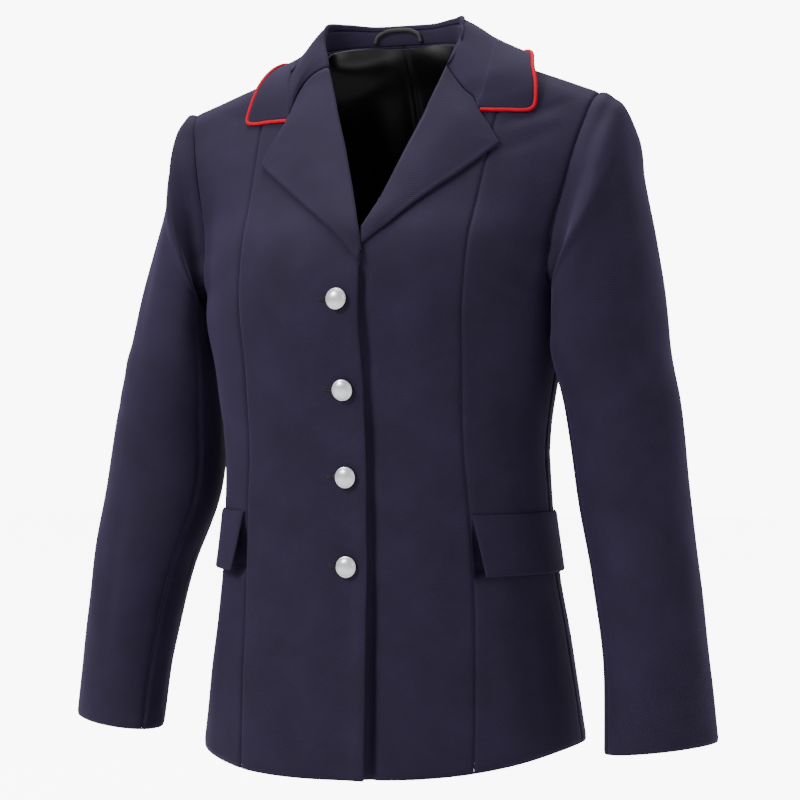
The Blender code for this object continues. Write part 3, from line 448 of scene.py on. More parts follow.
def wool_twill(name, dark, light, rib):
    """Worsted wool twill, pressed: matt with a soft sheen, diagonal ribs and a little fibre.
    The real rib is about 0.5 mm apart, and it is drawn coarser here so that it shows."""
    material, tree, shader = new_finish(name)
    place = add_node(tree, "ShaderNodeUVMap", uv_map="cloth_mm")
    turned = add_node(tree, "ShaderNodeMapping", {"Vector": place.outputs["UV"], "Rotation": (0.0, 0.0, TWILL_LEAN)})
    ribs = add_node(tree, "ShaderNodeTexWave", {
        "Vector": turned.outputs["Vector"], "Scale": 2.0 * math.pi / 20.0 / rib,
        "Distortion": 1.2, "Detail": 2.0, "Detail Scale": 1.5}, wave_type="BANDS", bands_direction="X")
    fibre = add_node(tree, "ShaderNodeTexNoise", {
        "Vector": turned.outputs["Vector"], "Scale": 0.9, "Detail": 4.0, "Roughness": 0.7})
    shade = add_node(tree, "ShaderNodeTexNoise", {
        "Vector": place.outputs["UV"], "Scale": 0.018, "Detail": 3.0, "Roughness": 0.55})
    mixed = add_node(tree, "ShaderNodeMix", {"Factor": 0.55, "A": ribs.outputs["Fac"], "B": fibre.outputs["Fac"]},
                     data_type="FLOAT")
    deeper = add_node(tree, "ShaderNodeMix", {"Factor": 0.35, "A": mixed.outputs["Result"],
                                             "B": shade.outputs["Fac"]}, data_type="FLOAT")
    tone = add_node(tree, "ShaderNodeValToRGB", {"Fac": deeper.outputs["Result"]})
    tone.color_ramp.elements[0].position = 0.28
    tone.color_ramp.elements[0].color = colour(dark)
    tone.color_ramp.elements[1].position = 0.72
    tone.color_ramp.elements[1].color = colour(light)
    relief = add_node(tree, "ShaderNodeBump", {"Height": mixed.outputs["Result"], "Strength": 0.22,
                                               "Distance": 0.00035})
    nap = add_node(tree, "ShaderNodeMapRange", {"Value": fibre.outputs["Fac"], "To Min": 0.72, "To Max": 0.88})
    set_inputs(tree, shader, {
        "Base Color": tone.outputs["Color"], "Normal": relief.outputs["Normal"], "Roughness": nap.outputs["Result"],
        "Specular IOR Level": 0.22, "Sheen Weight": 0.16, "Sheen Roughness": 0.45, "Sheen Tint": colour("A89CD8")})
    return material


navy = wool_twill("pressed_navy_wool_twill", WOOL_DARK, WOOL_LIGHT, TWILL_RIB)
shares = close_at_edges(PANEL_MIDDLE)
cut = len(shares) - 1
underarm = sum(ROW_PARTS[:UNDERARM_SECTION])
shapes = {}


def half_body(side):
    """Outer faces and outward directions of one half, as if it were the left."""
    front = half_sheet(FRONT_ROWS, FRONT_COLUMNS, ROLL[side], shares)
    front = more_rows(front, front[:, cut], ROW_PARTS)
    back = half_sheet(BACK_ROWS, BACK_COLUMNS, None, shares)
    back = more_rows(back, back[:, cut], ROW_PARTS)
    section = np.interp(np.arange(len(front)), np.concatenate(([0], np.cumsum(ROW_PARTS))), range(len(FRONT_ROWS)))
    lean = look_up(section, HEM_LEAN)
    for sheet in (front, back):
        x = sheet[..., 0]
        sheet[..., 2] += side * lean[:, None] * x / HEM_HALF
        if side == -1:
            sheet[..., 2] -= SHOULDER_DROP * ease(x, *DROP_REACH) * ease(section, *DROP_SECTIONS)[:, None]
    low = slice(0, underarm + 1)
    seam = 0.5 * (front[low, -1] + back[low, -1])
    front[low, -1] = seam
    back[low, -1] = seam
    front_out = -sheet_normals(front)
    back_out = sheet_normals(back)
    shared = unit(front_out[low, -1] + back_out[low, -1])
    front_out[low, -1] = shared
    back_out[low, -1] = shared
    back_out[:, 0, 0] = 0.0
    return front, unit(front_out), back, unit(back_out)


def front_relief(front, side):
    """Folds of a front, with the stand-off of the lapped edge on the right front and the trough beside it on the left
    front.
    """
    x = front[..., 0]
    z = front[..., 2]
    height = fold_heights(x, z, FRONT_FOLDS[side]) + uneven(x + 0.3 * side, z)
    below = ease(-z, 0.205, 0.235)
    if side == -1:
        held = sum(bell(z - button, 0.022) for button in BUTTON_HEIGHTS)
        stand = EDGE_STAND[0] + EDGE_STAND[1] * ease(-z, 0.33, 0.62)
        height += stand * below * (1.0 - 0.6 * np.minimum(held, 1.0)) * bell(x + OVERLAP, 0.014)
        height += 0.0006 * below * bell(x + OVERLAP - EDGE_PRESS, 0.0022)
    else:
        trough = EDGE_TROUGH[0] + EDGE_TROUGH[1] * ease(-z, 0.30, 0.60)
        height -= trough * below * bell(x - TROUGH_PLACE, TROUGH_HALF)
    return height


def pocket_mouth(front):
    """The side front sinks behind the front end of the flap."""
    z = front[..., 2]
    beside = edge_distance(front, "first_column")
    tall = ease(FLAP_TOP - 0.004 - z, 0.0, 0.030) * ease(z - FLAP_BOTTOM + 0.006, 0.0, 0.012)
    return -MOUTH_DEPTH * tall * ease(beside, 0.0002, 0.004) * ease(0.040 - beside, 0.0, 0.026)


def armhole_dip(grid, name):
    """The cloth beside the armhole is drawn down a little more than at the other seams."""
    if "centre" in name:
        return np.zeros(grid.shape[:2])
    beside = bell(edge_distance(grid, "last_column"), 0.0030)
    return -ARMHOLE_DIP * beside * ease(grid[..., 2], -0.24, -0.20)


def thin_edges(grid, out, thickness, open_edges):
    """The inner face of a cloth wall, rounded towards its open edges."""
    away = from_edges(grid, open_edges)
    rounding = 0.0007 * bell(away, 0.0009)
    return grid - rounding[..., None] * out, grid - (thickness - rounding)[..., None] * out


for side, word in SIDES:
    front, front_out, back, back_out = half_body(side)
    if side == 1:
        reach = ease(0.078 - front[..., 0], 0.0, 0.045) * ease(-front[..., 2], 0.12, 0.17)
        front = front - front_out * ((CLOTH + LAYER_GAP) * reach)[..., None]
    front = front + front_out * front_relief(front, side)[..., None]
    back = back + back_out * (fold_heights(back[..., 0], back[..., 2], BACK_FOLDS[side])
                              + uneven(back[..., 0] - 0.2 * side, back[..., 2]))[..., None]
    seam = 0.5 * (front[:underarm + 1, -1] + back[:underarm + 1, -1])
    front[:underarm + 1, -1] = seam
    back[:underarm + 1, -1] = seam
    shapes[side] = (front, front_out, back, back_out)
    pieces = (
        ("wool_front_centre_" + word, front, front_out, slice(0, cut + 1), ("last_column", "last_row"),
         ("first_column", "first_row"), FRONT_CENTRE_CUT),
        ("wool_front_side_" + word, front, front_out, slice(cut, None), ("first_column", "last_row", "last_column"),
         ("first_row",), FRONT_SIDE_CUT),
        ("wool_back_" + word, back, back_out, slice(0, None), ("first_column", "last_row", "last_column"),
         ("first_row",), BACK_CUT),
    )
    for name, grid, out, columns, seams, opens, cut_size in pieces:
        grid = grid[:, columns]
        out = out[:, columns]
        if "side" in name:
            grid = grid + out * pocket_mouth(grid)[..., None]
        top, under = thin_edges(grid, out, CLOTH, opens)
        top = top + out * seam_dip(grid, seams)[..., None]
        top = top + out * armhole_dip(grid, name)[..., None]
        for edge in seams:
            top = pull(top, edge, 0.5 * SEAM_GAP)
            under = pull(under, edge, 0.5 * SEAM_GAP)
        piece = wall(name, mirrored(top, side), mirrored(under, side), side)
        piece.data.materials.append(navy)
        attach(piece, "root")
        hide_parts(name.replace("wool_", ""))


# Two-piece sleeves
# Top and under sleeve of the same twill, set into the armhole with a softly padded head.
# The two long seams run down the front and the back of the arm to a plain turned cuff.
SLEEVE_COLUMNS = ("left_x", "right_x", "outer_y", "outer_z", "inner_x", "inner_y", "inner_z", "deep", "full", "share")
SLEEVE_ROWS = (
    (0.2190, 0.2175, 0.0145, -0.0515, 0.1845, -0.0040, -0.2535, 0.060, 0.000, 0.25),
    (0.2310, 0.2250, 0.0185, -0.0615, 0.1870, -0.0060, -0.2565, 0.063, 0.011, 0.65),
    (0.2400, 0.2270, 0.0230, -0.0880, 0.1880, -0.0080, -0.2595, 0.065, 0.015, 1.0),
    (0.2460, 0.2335, 0.0255, -0.1280, 0.1875, -0.0100, -0.2630, 0.065, 0.016, 1.0),
    (0.2565, 0.2475, 0.0245, -0.1800, 0.1860, -0.0120, -0.2680, 0.065, 0.016, 1.0),
    (0.2665, 0.2610, 0.0215, -0.2300, 0.1840, -0.0140, -0.2780, 0.064, 0.015, 1.0),
    (0.2760, 0.2740, 0.0120, -0.2950, 0.1800, -0.0140, -0.3000, 0.062, 0.012, 1.0),
    (0.2865, 0.2845, 0.0060, -0.3425, 0.1815, -0.0040, -0.3425, 0.061, 0.003, 1.0),
    (0.2965, 0.3020, 0.0060, -0.4350, 0.1930, 0.0000, -0.4350, 0.056, 0.000, 1.0),
    (0.3090, 0.3100, -0.0060, -0.5100, 0.2097, -0.0100, -0.5100, 0.052, 0.000, 1.0),
    (0.3200, 0.3190, -0.0110, -0.5950, 0.2230, -0.0230, -0.5950, 0.048, 0.000, 1.0),
    (0.3267, 0.3267, -0.0092, -0.6565, 0.2273, -0.0388, -0.6665, 0.045, 0.000, 1.0),
)
SLEEVE_FOLD = ((-0.560, 0.0), (-0.510, 0.0030), (-0.435, 0.0110), (-0.3425, 0.0040), (-0.300, 0.0))
RING_PARTS = (5, 5, 7, 9, 11, 11, 15, 14, 26, 22, 24, 20)
RING_TURNS = 10
FULL_TURN = 2.25
FULL_SPREAD = 0.75
FULL_WAY = (-0.9, -0.45, 0.0)
HEAD_RISE = 0.0016
FRONT_SEAM_TURN = 1
BACK_SEAM_TURN = 13
SLEEVE_SPAN = 0.058
# Folds on the sleeves: distance round the arm from its outer side, forward being positive, and height
SLEEVE_CREASES = {
    1: ((0.040, -0.150, 0.060, -0.300, 0.012, -0.0014), (0.015, -0.300, 0.075, -0.350, 0.010, 0.0016),
        (0.030, -0.335, 0.090, -0.365, 0.008, -0.0016), (0.020, -0.380, 0.070, -0.520, 0.014, 0.0014),
        (0.060, -0.400, 0.100, -0.440, 0.009, 0.0014), (-0.060, -0.300, -0.020, -0.360, 0.012, -0.0014),
        (0.000, -0.420, 0.010, -0.640, 0.016, -0.0012), (0.030, -0.090, 0.035, -0.190, 0.012, 0.0010)),
    -1: ((0.050, -0.150, 0.070, -0.310, 0.012, -0.0014), (0.020, -0.290, 0.080, -0.335, 0.010, 0.0014),
         (0.035, -0.350, 0.100, -0.385, 0.008, -0.0016), (0.010, -0.400, 0.060, -0.560, 0.014, 0.0014),
         (0.075, -0.440, 0.090, -0.600, 0.010, -0.0014), (-0.060, -0.310, -0.015, -0.370, 0.012, -0.0014),
         (-0.010, -0.430, 0.000, -0.640, 0.016, -0.0010)),
}


def armhole(front, front_out, back, back_out):
    """The armhole as a closed ring from the underarm up the front and down the back."""
    ring = np.concatenate([front[underarm:, -1], back[underarm + 1:-1, -1][::-1]])
    out = np.concatenate([front_out[underarm:, -1], back_out[underarm + 1:-1, -1][::-1]])
    away = unit(np.cross(unit(np.roll(ring, -1, axis=0) - np.roll(ring, 1, axis=0)), out))
    if away[3 * RING_TURNS, 0] < 0.0:
        away = -away
    return ring, out, away


def ring_turns(ring):
    """Angle of each armhole point round the sleeve, half a turn front and back."""
    top = int(np.argmax(ring[:, 2]))
    length = length_along(np.concatenate([ring, ring[:1]]))
    front = math.pi * (1.0 - length[:top + 1] / length[top])
    back = -math.pi * (length[top + 1:-1] - length[top]) / (length[-1] - length[top])
    return np.concatenate([front, back])


def sleeve_rings(ring, turns, side):
    """Rings of the sleeve from the armhole to the cuff."""
    middle = ring.mean(axis=0)
    rings = [ring]
    for values in SLEEVE_ROWS:
        row = dict(zip(SLEEVE_COLUMNS, values))
        outer = np.array([row["left_x" if side == 1 else "right_x"], row["outer_y"], row["outer_z"]])
        inner = np.array([row["inner_x"], row["inner_y"], row["inner_z"]])
        if side == -1:
            inner[0] -= look_up(inner[2], SLEEVE_FOLD)
        centre = 0.5 * (outer + inner)
        depth = np.array([0.0, -row["deep"], 0.0])
        oval = centre + np.outer(np.cos(turns), 0.5 * (outer - inner)) + np.outer(np.sin(turns), depth)
        oval += np.outer(bell(turns - FULL_TURN, FULL_SPREAD), row["full"] * np.array(FULL_WAY))
        rings.append((1.0 - row["share"]) * (ring - middle + centre) + row["share"] * oval)
    rings = np.array(rings)
    return more_rows(rings, rings.mean(axis=1), RING_PARTS)


SLEEVE_TOP_CUT = (0.365, 0.630, 0.1340)
SLEEVE_UNDER_CUT = (0.165, 0.450, 0.0482)
for side, word in SIDES:
    ring, ring_out, away = armhole(*shapes[side])
    turns = ring_turns(ring)
    grid = sleeve_rings(ring + 1.3 * SEAM_GAP * away, turns, side)
    wrapped = np.concatenate([grid[:, -1:], grid, grid[:, :1]], axis=1)
    out = sheet_normals(wrapped)[:, 1:-1]
    if np.sum(out * (grid - grid.mean(axis=1, keepdims=True))) < 0.0:
        out = -out
    down = edge_distance(grid, "first_row")
    round_arm = np.repeat((turns * SLEEVE_SPAN)[None], len(grid), axis=0)
    height = fold_heights(round_arm, grid[..., 2], SLEEVE_CREASES[side]) + uneven(round_arm + side, grid[..., 2])
    height *= ease(down, 0.0, 0.05)
    head = ease(ring[:, 2], -0.17, -0.09)[None]
    height += HEAD_RISE * head * bell(down - 0.009, 0.006)
    inner = grid - CLOTH * out
    inner[0] = ring + 1.3 * SEAM_GAP * away - CLOTH * ring_out
    grid = grid + out * height[..., None]
    inner[1:] += (out * height[..., None])[1:]
    first = FRONT_SEAM_TURN * RING_TURNS
    last = BACK_SEAM_TURN * RING_TURNS
    around = len(ring)
    spans = (("wool_sleeve_top_" + word, list(range(first, last + 1)), SLEEVE_TOP_CUT),
             ("wool_sleeve_under_" + word, list(range(last, around)) + list(range(0, first + 1)), SLEEVE_UNDER_CUT))
    for name, picks, cut_size in spans:
        dip = seam_dip(grid[:, picks], ("first_column", "last_column", "first_row"))
        top = grid[:, picks] + out[:, picks] * dip[..., None]
        under = inner[:, picks]
        cuff = 0.0007 * bell(edge_distance(top, "last_row"), 0.0012)[..., None]
        top = top - cuff * out[:, picks]
        under = under + cuff * out[:, picks]
        for edge in ("first_column", "last_column"):
            top = pull(top, edge, 0.5 * SEAM_GAP)
            under = pull(under, edge, 0.5 * SEAM_GAP)
        piece = wall(name, mirrored(top, side), mirrored(under, side), side)
        piece.data.materials.append(navy)
        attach(piece, "root")
        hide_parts(name.replace("wool_", ""))


# Lapels
# The facing turned back on each front at the roll line, a soft roll about 6 mm thick with a pressed
# outer edge. It lies on the front and is sewn to the collar along the gorge seam.
LAPEL_LIFT = 0.0009
LAPEL_BULGE = 0.0028
LAPEL_CLOTH = 0.0024
FACING_CLOTH = 0.0010
ROLL_RADIUS = 0.0033
ROLL_STEPS = 9
FACING_RUN = 0.014
GORGE_SHIFT = (-0.0006, -0.0003)
LAPEL_RIGHT = ((-0.0190, -0.2150), (-0.0134, -0.2099), (-0.0034, -0.1983), (0.0200, -0.1793),
               (0.0460, -0.1613), (0.0741, -0.1418), (0.1076, -0.1182), (0.0996, -0.0972), (0.0858, -0.0720))
LAPEL_LEFT = ((0.0180, -0.2005), (0.0295, -0.1895), (0.0398, -0.1817), (0.0557, -0.1663),
              (0.0754, -0.1487), (0.0995, -0.1291), (0.1276, -0.1035), (0.1140, -0.0838), (0.1018, -0.0687))
LAPEL = {1: LAPEL_LEFT, -1: LAPEL_RIGHT}
LAPEL_TIP = 6
TIP_ROLL_Z = -0.088
LAPEL_LOW = {1: -0.1810, -1: -0.2030}
GORGE_RIGHT = ((0.0557, -0.0194), (0.0683, -0.0244), (0.0782, -0.0342), (0.0832, -0.0486), (0.0858, -0.0720))
GORGE_LEFT = ((0.0650, -0.0219), (0.0778, -0.0392), (0.0897, -0.0519), (0.0963, -0.0571), (0.1018, -0.0687))
GORGE = {1: GORGE_LEFT, -1: GORGE_RIGHT}
LAPEL_LOWER = 52
LAPEL_UPPER = 20
LAPEL_MIDDLE = 20
LAPEL_CREASES = {
    1: ((0.060, -0.115, 0.085, -0.085, 0.012, 0.0006), (0.045, -0.150, 0.070, -0.130, 0.010, -0.0005)),
    -1: ((0.050, -0.120, 0.080, -0.085, 0.012, 0.0006), (0.015, -0.170, 0.045, -0.145, 0.010, -0.0005)),
}


def tree_of(grid):
    """Search tree over the faces of a front."""
    rows, columns = grid.shape[:2]
    index = np.arange(rows * columns).reshape(rows, columns)
    faces = np.stack([index[:-1, :-1], index[1:, :-1], index[1:, 1:], index[:-1, 1:]], axis=-1).reshape(-1, 4)
    return BVHTree.FromPolygons(grid.reshape(-1, 3).tolist(), faces.tolist())


def behind(tree, flat):
    """Places on the front behind points given by distance and height."""
    places = []
    for x, z in flat.reshape(-1, 2):
        for step in range(60):
            start = Vector((x + 0.0006 * step, -1.0, z))
            place = tree.ray_cast(start, Vector((0.0, 1.0, 0.0)))[0]
            if place is not None:
                break
        places.append((x, place.y, z))
    return np.array(places).reshape(flat.shape[:-1] + (3,))


def smooth_line(points, shares):
    """Points at shares of a smooth line through the given points."""
    points = np.asarray(points, float)
    knots = length_along(points)
    return place_along(smooth(knots, points, np.linspace(0.0, knots[-1], 160)), shares)


def rolled(first, across, out, radius, height, run):
    """Columns of an edge that turns over into the inside, from the inside end to the top."""
    columns = []
    hub = first + radius[:, None] * across + height[:, None] * out
    for back in np.linspace(run, 0.0, 5)[:-1]:
        columns.append(hub - radius[:, None] * out + back * across)
    for turn in np.linspace(math.pi, 0.0, ROLL_STEPS + 1)[:-1]:
        columns.append(hub + radius[:, None] * (math.cos(turn) * out - math.sin(turn) * across))
    return np.stack(columns, axis=1)


front_trees = {side: tree_of(shapes[side][0]) for side, _ in SIDES}
gorge_ends = {}
for side, word in SIDES:
    outline = np.array(LAPEL[side])
    lower = np.linspace(0.0, 1.0, LAPEL_LOWER)
    upper = np.linspace(0.0, 1.0, LAPEL_UPPER)
    outer = np.concatenate([smooth_line(outline[:LAPEL_TIP + 1], lower), smooth_line(outline[LAPEL_TIP:], upper)[1:]])
    gorge_z = GORGE[side][0][1]
    heights = np.concatenate([LAPEL_LOW[side] + (TIP_ROLL_Z - LAPEL_LOW[side]) * lower,
                              (TIP_ROLL_Z + (gorge_z - TIP_ROLL_Z) * upper)[1:]])
    inner = np.stack([look_up(heights, ROLL[side]), heights], axis=1)
    inner[-1] = np.array(GORGE[side][0]) + np.array(GORGE_SHIFT)
    outer[-1] = np.array(GORGE[side][-1]) + np.array(GORGE_SHIFT)
    width = np.linalg.norm(outer - inner, axis=1)
    radius = np.minimum(ROLL_RADIUS, 0.30 * width)
    across = close_at_edges(LAPEL_MIDDLE)
    first = radius / width
    share = first[:, None] + (1.0 - first[:, None]) * across[None]
    flat = inner[:, None] + (outer - inner)[:, None] * share[..., None]
    top = smooth_line(GORGE[side], share[-1]) + np.array(GORGE_SHIFT)
    up = np.linspace(0.0, 1.0, len(outer))
    flat = flat + ease(up, 0.55, 1.0)[:, None, None] * (top - flat[-1])[None]
    place = behind(front_trees[side], flat)
    out = sheet_normals(place)
    if out[len(out) // 2, 5, 1] > 0.0:
        out = -out
    bulge = np.sin(math.pi * np.minimum(share, 0.9)) * (ease(up, 0.0, 0.15) * ease(1.0 - up, 0.0, 0.2))[:, None]
    lift = LAPEL_LIFT + LAPEL_BULGE * bulge + fold_heights(place[..., 0], place[..., 2], LAPEL_CREASES[side])
    over = unit(place[:, 3] - place[:, 0])
    first_out = square_to(out[:, 0], over)
    thick = np.minimum(LAPEL_CLOTH, 1.4 * radius)
    hub_height = lift[:, 0] + thick - radius
    edge = place[:, 0] - radius[:, None] * over
    turned = rolled(edge, over, first_out, radius, hub_height, FACING_RUN)
    turned_in = turned.copy()
    hub = edge + radius[:, None] * over + hub_height[:, None] * first_out
    steps = turned.shape[1]
    thinner = np.concatenate([np.full(4, FACING_CLOTH), np.linspace(FACING_CLOTH, LAPEL_CLOTH, steps - 4)])
    for k in range(steps):
        if k < 4:
            turned_in[:, k] = turned[:, k] + np.minimum(thinner[k], thick)[:, None] * first_out
        else:
            toward = hub - turned[:, k]
            part = (np.minimum(thinner[k], thick) / radius).clip(0.0, 0.92)
            turned_in[:, k] = turned[:, k] + toward * part[:, None]
    rim = from_edges(place, ("last_column",))
    rounding = 0.0009 * bell(rim, 0.0010)
    upper_face = place + out * (lift + thick[:, None] - rounding)[..., None]
    lower_face = place + out * (lift + 0.5 * rounding)[..., None]
    top_face = np.concatenate([turned, upper_face], axis=1)
    under_face = np.concatenate([turned_in, lower_face], axis=1)
    dip = 0.0008 * bell(edge_distance(top_face, "last_row"), 0.0014)
    normals = np.concatenate([unit(turned - turned_in), out], axis=1)
    top_face = top_face - dip[..., None] * normals
    gorge_ends[side] = (share[-1], over[-1], first_out[-1])
    name = "wool_lapel_" + word
    piece = wall(name, mirrored(top_face, side), mirrored(under_face, side), side)
    piece.data.materials.append(navy)
    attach(piece, "root")
    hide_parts("lapel_" + word)


# Collar
# A fall in one piece from notch to notch, folded over a separate stand that is sewn to the neck.
# Both are wool twill stiffened with canvas, and the fall's corner is turned with a small round.
COLLAR_CLOTH = 0.0024
STAND_CLOTH = 0.0020
STAND_LIFT = 0.0008
STAND_SHARE = 0.72
FOLD_SHARE = 0.74
SETTLE_SHARE = 0.70
NOTCH_SOFTEN = 220
STAND_END = 3.2
FOLD_RADIUS = 0.0030
CORNER_ROUND = {1: 0.0050, -1: 0.0030}
COLLAR_ROWS_HALF = 74
# Roll point, point on the outer edge and bulge between them, from the centre back to the front
COLLAR_LEFT = (
    (0.0000, 0.0475, 0.0290, 0.0000, 0.0665, -0.0130, 0.0060),
    (0.0300, 0.0445, 0.0290, 0.0450, 0.0640, -0.0135, 0.0065),
    (0.0540, 0.0330, 0.0305, 0.0890, 0.0500, -0.0130, 0.0070),
    (0.0680, 0.0150, 0.0260, 0.1330, 0.0180, -0.0100, 0.0045),
    (0.0690, -0.0010, 0.0080, 0.1395, -0.0040, -0.0285, 0.0045),
    (0.0640, -0.0120, -0.0080, 0.1445, -0.0150, -0.0490, 0.0030),
    (0.0603, -0.0190, -0.0205, 0.1450, -0.0200, -0.0700, 0.0015),
)
COLLAR_RIGHT = (
    (0.0000, 0.0475, 0.0290, 0.0000, 0.0665, -0.0130, 0.0060),
    (0.0300, 0.0445, 0.0290, 0.0450, 0.0640, -0.0135, 0.0060),
    (0.0540, 0.0330, 0.0305, 0.0850, 0.0500, -0.0130, 0.0040),
    (0.0680, 0.0150, 0.0260, 0.1200, 0.0180, -0.0095, 0.0010),
    (0.0690, -0.0010, 0.0080, 0.1330, -0.0040, -0.0280, 0.0025),
    (0.0640, -0.0120, -0.0080, 0.1400, -0.0150, -0.0490, 0.0025),
    (0.0603, -0.0190, -0.0205, 0.1450, -0.0200, -0.0700, 0.0015),
)
COLLAR_ROWS = {1: COLLAR_LEFT, -1: COLLAR_RIGHT}
END_RIGHT = ((0.1000, -0.0716), (0.1140, -0.0717), (0.1278, -0.0724), (0.1372, -0.0712))
END_LEFT = ((0.1150, -0.0690), (0.1300, -0.0693), (0.1430, -0.0698), (0.1530, -0.0688))
COLLAR_END = {1: END_LEFT, -1: END_RIGHT}
GORGE_PART = 5.0 / 9.0
END_COLUMNS = 22
COLLAR_CREASES = ((-0.115, -0.035, -0.075, -0.045, 0.010, 0.0005), (0.085, -0.040, 0.130, -0.030, 0.008, 0.0007),
                  (0.095, -0.055, 0.140, -0.048, 0.006, -0.0006))


def collar_half(side):
    """Columns of the fall for one half, from its inside end over the fold to the outer edge."""
    gorge_share, gorge_over, gorge_out = gorge_ends[side]
    stations = np.array(COLLAR_ROWS[side])
    knots = length_along(stations[:, 3:6])
    spread = np.linspace(0.0, 1.0, COLLAR_ROWS_HALF)
    spread = np.concatenate([spread[:-1], 1.0 - np.array([0.010, 0.0075, 0.005, 0.0025, 0.0])])
    rows = smooth(knots, stations, spread * knots[-1])
    station = np.interp(spread * knots[-1], knots, range(len(stations)))
    tail = np.linspace(0.0, 1.0, END_COLUMNS + 1)[1:]
    tail = np.concatenate([tail[:-1], [0.985, 0.993, 1.0]])
    end = np.concatenate([smooth_line(GORGE[side], gorge_share),
                          smooth_line([GORGE[side][-1]] + list(COLLAR_END[side]), tail)])
    share = np.concatenate([gorge_share * GORGE_PART, GORGE_PART + (1.0 - GORGE_PART) * tail])
    place = behind(front_trees[side], end)
    nearby = behind(front_trees[side], end + np.array([0.0, 0.002]))
    along = unit(np.gradient(place, axis=0))
    end_out = unit(np.cross(along, nearby - place))
    end_out = np.where(end_out[:, 1:2] > 0.0, -end_out, end_out)
    final = place + end_out * (LAPEL_LIFT + COLLAR_CLOTH)
    roll = rows[:, None, 0:3]
    edge = rows[:, None, 3:6]
    way = unit(edge - roll)
    rise = unit(np.array([0.0, 0.0, 1.0]) - way[..., 2:3] * way)
    grid = roll + (edge - roll) * share[None, :, None]
    grid = grid + rise * rows[:, None, 6:7] * (4.0 * share * (1.0 - share))[None, :, None]
    change = final - grid[-1]
    soft = softened(change, NOTCH_SOFTEN)
    sharp = ease(spread, 0.84, 1.0)[:, None, None]
    grid = grid + ease(spread, 0.35, 0.97)[:, None, None] * ((1.0 - sharp) * soft[None] + sharp * change[None])
    notch = len(gorge_share) - 1
    from_end = edge_distance(grid, "last_row")[:, -1]
    corner = CORNER_ROUND[side]
    short = np.maximum(corner - from_end, 0.0)
    short = corner - np.sqrt(np.maximum(corner ** 2 - short ** 2, 0.0))
    for i in np.nonzero(short > 0.0)[0]:
        line = grid[i, notch:]
        length = length_along(line)
        keep = 1.0 - short[i] / length[-1]
        grid[i, notch:] = place_along(line, keep * length / length[-1])
    low = neck_line(np.clip(station / STAND_END, 0.0, 1.0)) + np.array([0.0, 0.0, STAND_LIFT])
    start = grid[:, 0]
    tip = rows[:, 0:3]
    ahead = ease(spread, 0.50, 0.97)[:, None]
    gorge_tip = final[0] - ROLL_RADIUS * gorge_over - (LAPEL_LIFT + COLLAR_CLOTH) * end_out[0]
    tip = tip + ahead * (gorge_tip - rows[-1, 0:3])
    into = unit((1.0 - ahead) * unit(low - tip) + ahead * gorge_over)
    lifted = unit(grid[:, 4] - tip)
    square = unit((1.0 - ahead) * square_to(lifted, into) + ahead * gorge_out)
    square = square_to(square, into)
    radius = FOLD_RADIUS + (ROLL_RADIUS - FOLD_RADIUS) * ahead[:, 0]
    height = (1.0 - ahead[:, 0]) * radius + ahead[:, 0] * (LAPEL_LIFT + COLLAR_CLOTH - ROLL_RADIUS)
    hub = tip + radius[:, None] * into + height[:, None] * square
    top = hub + radius[:, None] * square
    settle = 1.0 - ease(share, share[0], SETTLE_SHARE)
    grid = grid + (top - start)[:, None] * settle[None, :, None]
    run = np.linalg.norm(low - tip, axis=1) * (1.0 - FOLD_SHARE)
    run = (1.0 - ahead[:, 0]) * np.maximum(run - radius, 0.001) + ahead[:, 0] * FACING_RUN
    columns = []
    inner = []
    thin = FACING_CLOTH
    for back in np.linspace(1.0, 0.0, 5)[:-1]:
        line = hub - radius[:, None] * square + (back * run)[:, None] * into
        columns.append(line)
        inner.append(line + thin * square)
    for turn in np.linspace(math.pi, 0.0, ROLL_STEPS + 1)[:-1]:
        line = hub + radius[:, None] * (math.cos(turn) * square - math.sin(turn) * into)
        columns.append(line)
        deep = thin + (COLLAR_CLOTH - thin) * (1.0 - turn / math.pi)
        inner.append(line + (hub - line) * np.minimum(deep / radius, 0.9)[:, None])
    return np.concatenate([np.stack(columns, axis=1), grid], axis=1), np.stack(inner, axis=1), len(columns) + notch


left, left_in, notch = collar_half(1)
right, right_in, _ = collar_half(-1)
fall = np.concatenate([mirrored(right, -1)[::-1], left[1:]])
turned_in = np.concatenate([mirrored(right_in, -1)[::-1], left_in[1:]])
middle = len(right) - 1
fall[middle, :, 0] = 0.0
turned_in[middle, :, 0] = 0.0
fall_out = sheet_normals(fall)
rolls = turned_in.shape[1]
if fall_out[middle, rolls + 10, 2] < 0.0:
    fall_out = -fall_out
height = fold_heights(fall[..., 0], fall[..., 2], COLLAR_CREASES)
height[:, :rolls] = 0.0
fall = fall + fall_out * height[..., None]
from_ends = from_edges(fall, ("first_row", "last_row"))
free_end = np.where(np.arange(fall.shape[1]) > notch, 1.0, 9.0)[None]
away = np.minimum(edge_distance(fall, "last_column"), free_end * from_ends)
rounding = 0.0008 * bell(away, 0.0010)[..., None]
dip = np.where(np.arange(fall.shape[1])[None] <= notch, 0.0008 * bell(from_ends, 0.0014), 0.0)[..., None]
fall_in = fall - COLLAR_CLOTH * fall_out + rounding * fall_out
fall_in[:, :rolls] = turned_in
top_face = fall - (rounding + dip) * fall_out
for edge in ("first_row", "last_row"):
    top_face = pull(top_face, edge, 0.5 * SEAM_GAP)
    fall_in = pull(fall_in, edge, 0.5 * SEAM_GAP)
piece = wall("wool_collar_fall", top_face, fall_in)
piece.data.materials.append(navy)
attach(piece, "root")
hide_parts("collar_fall")

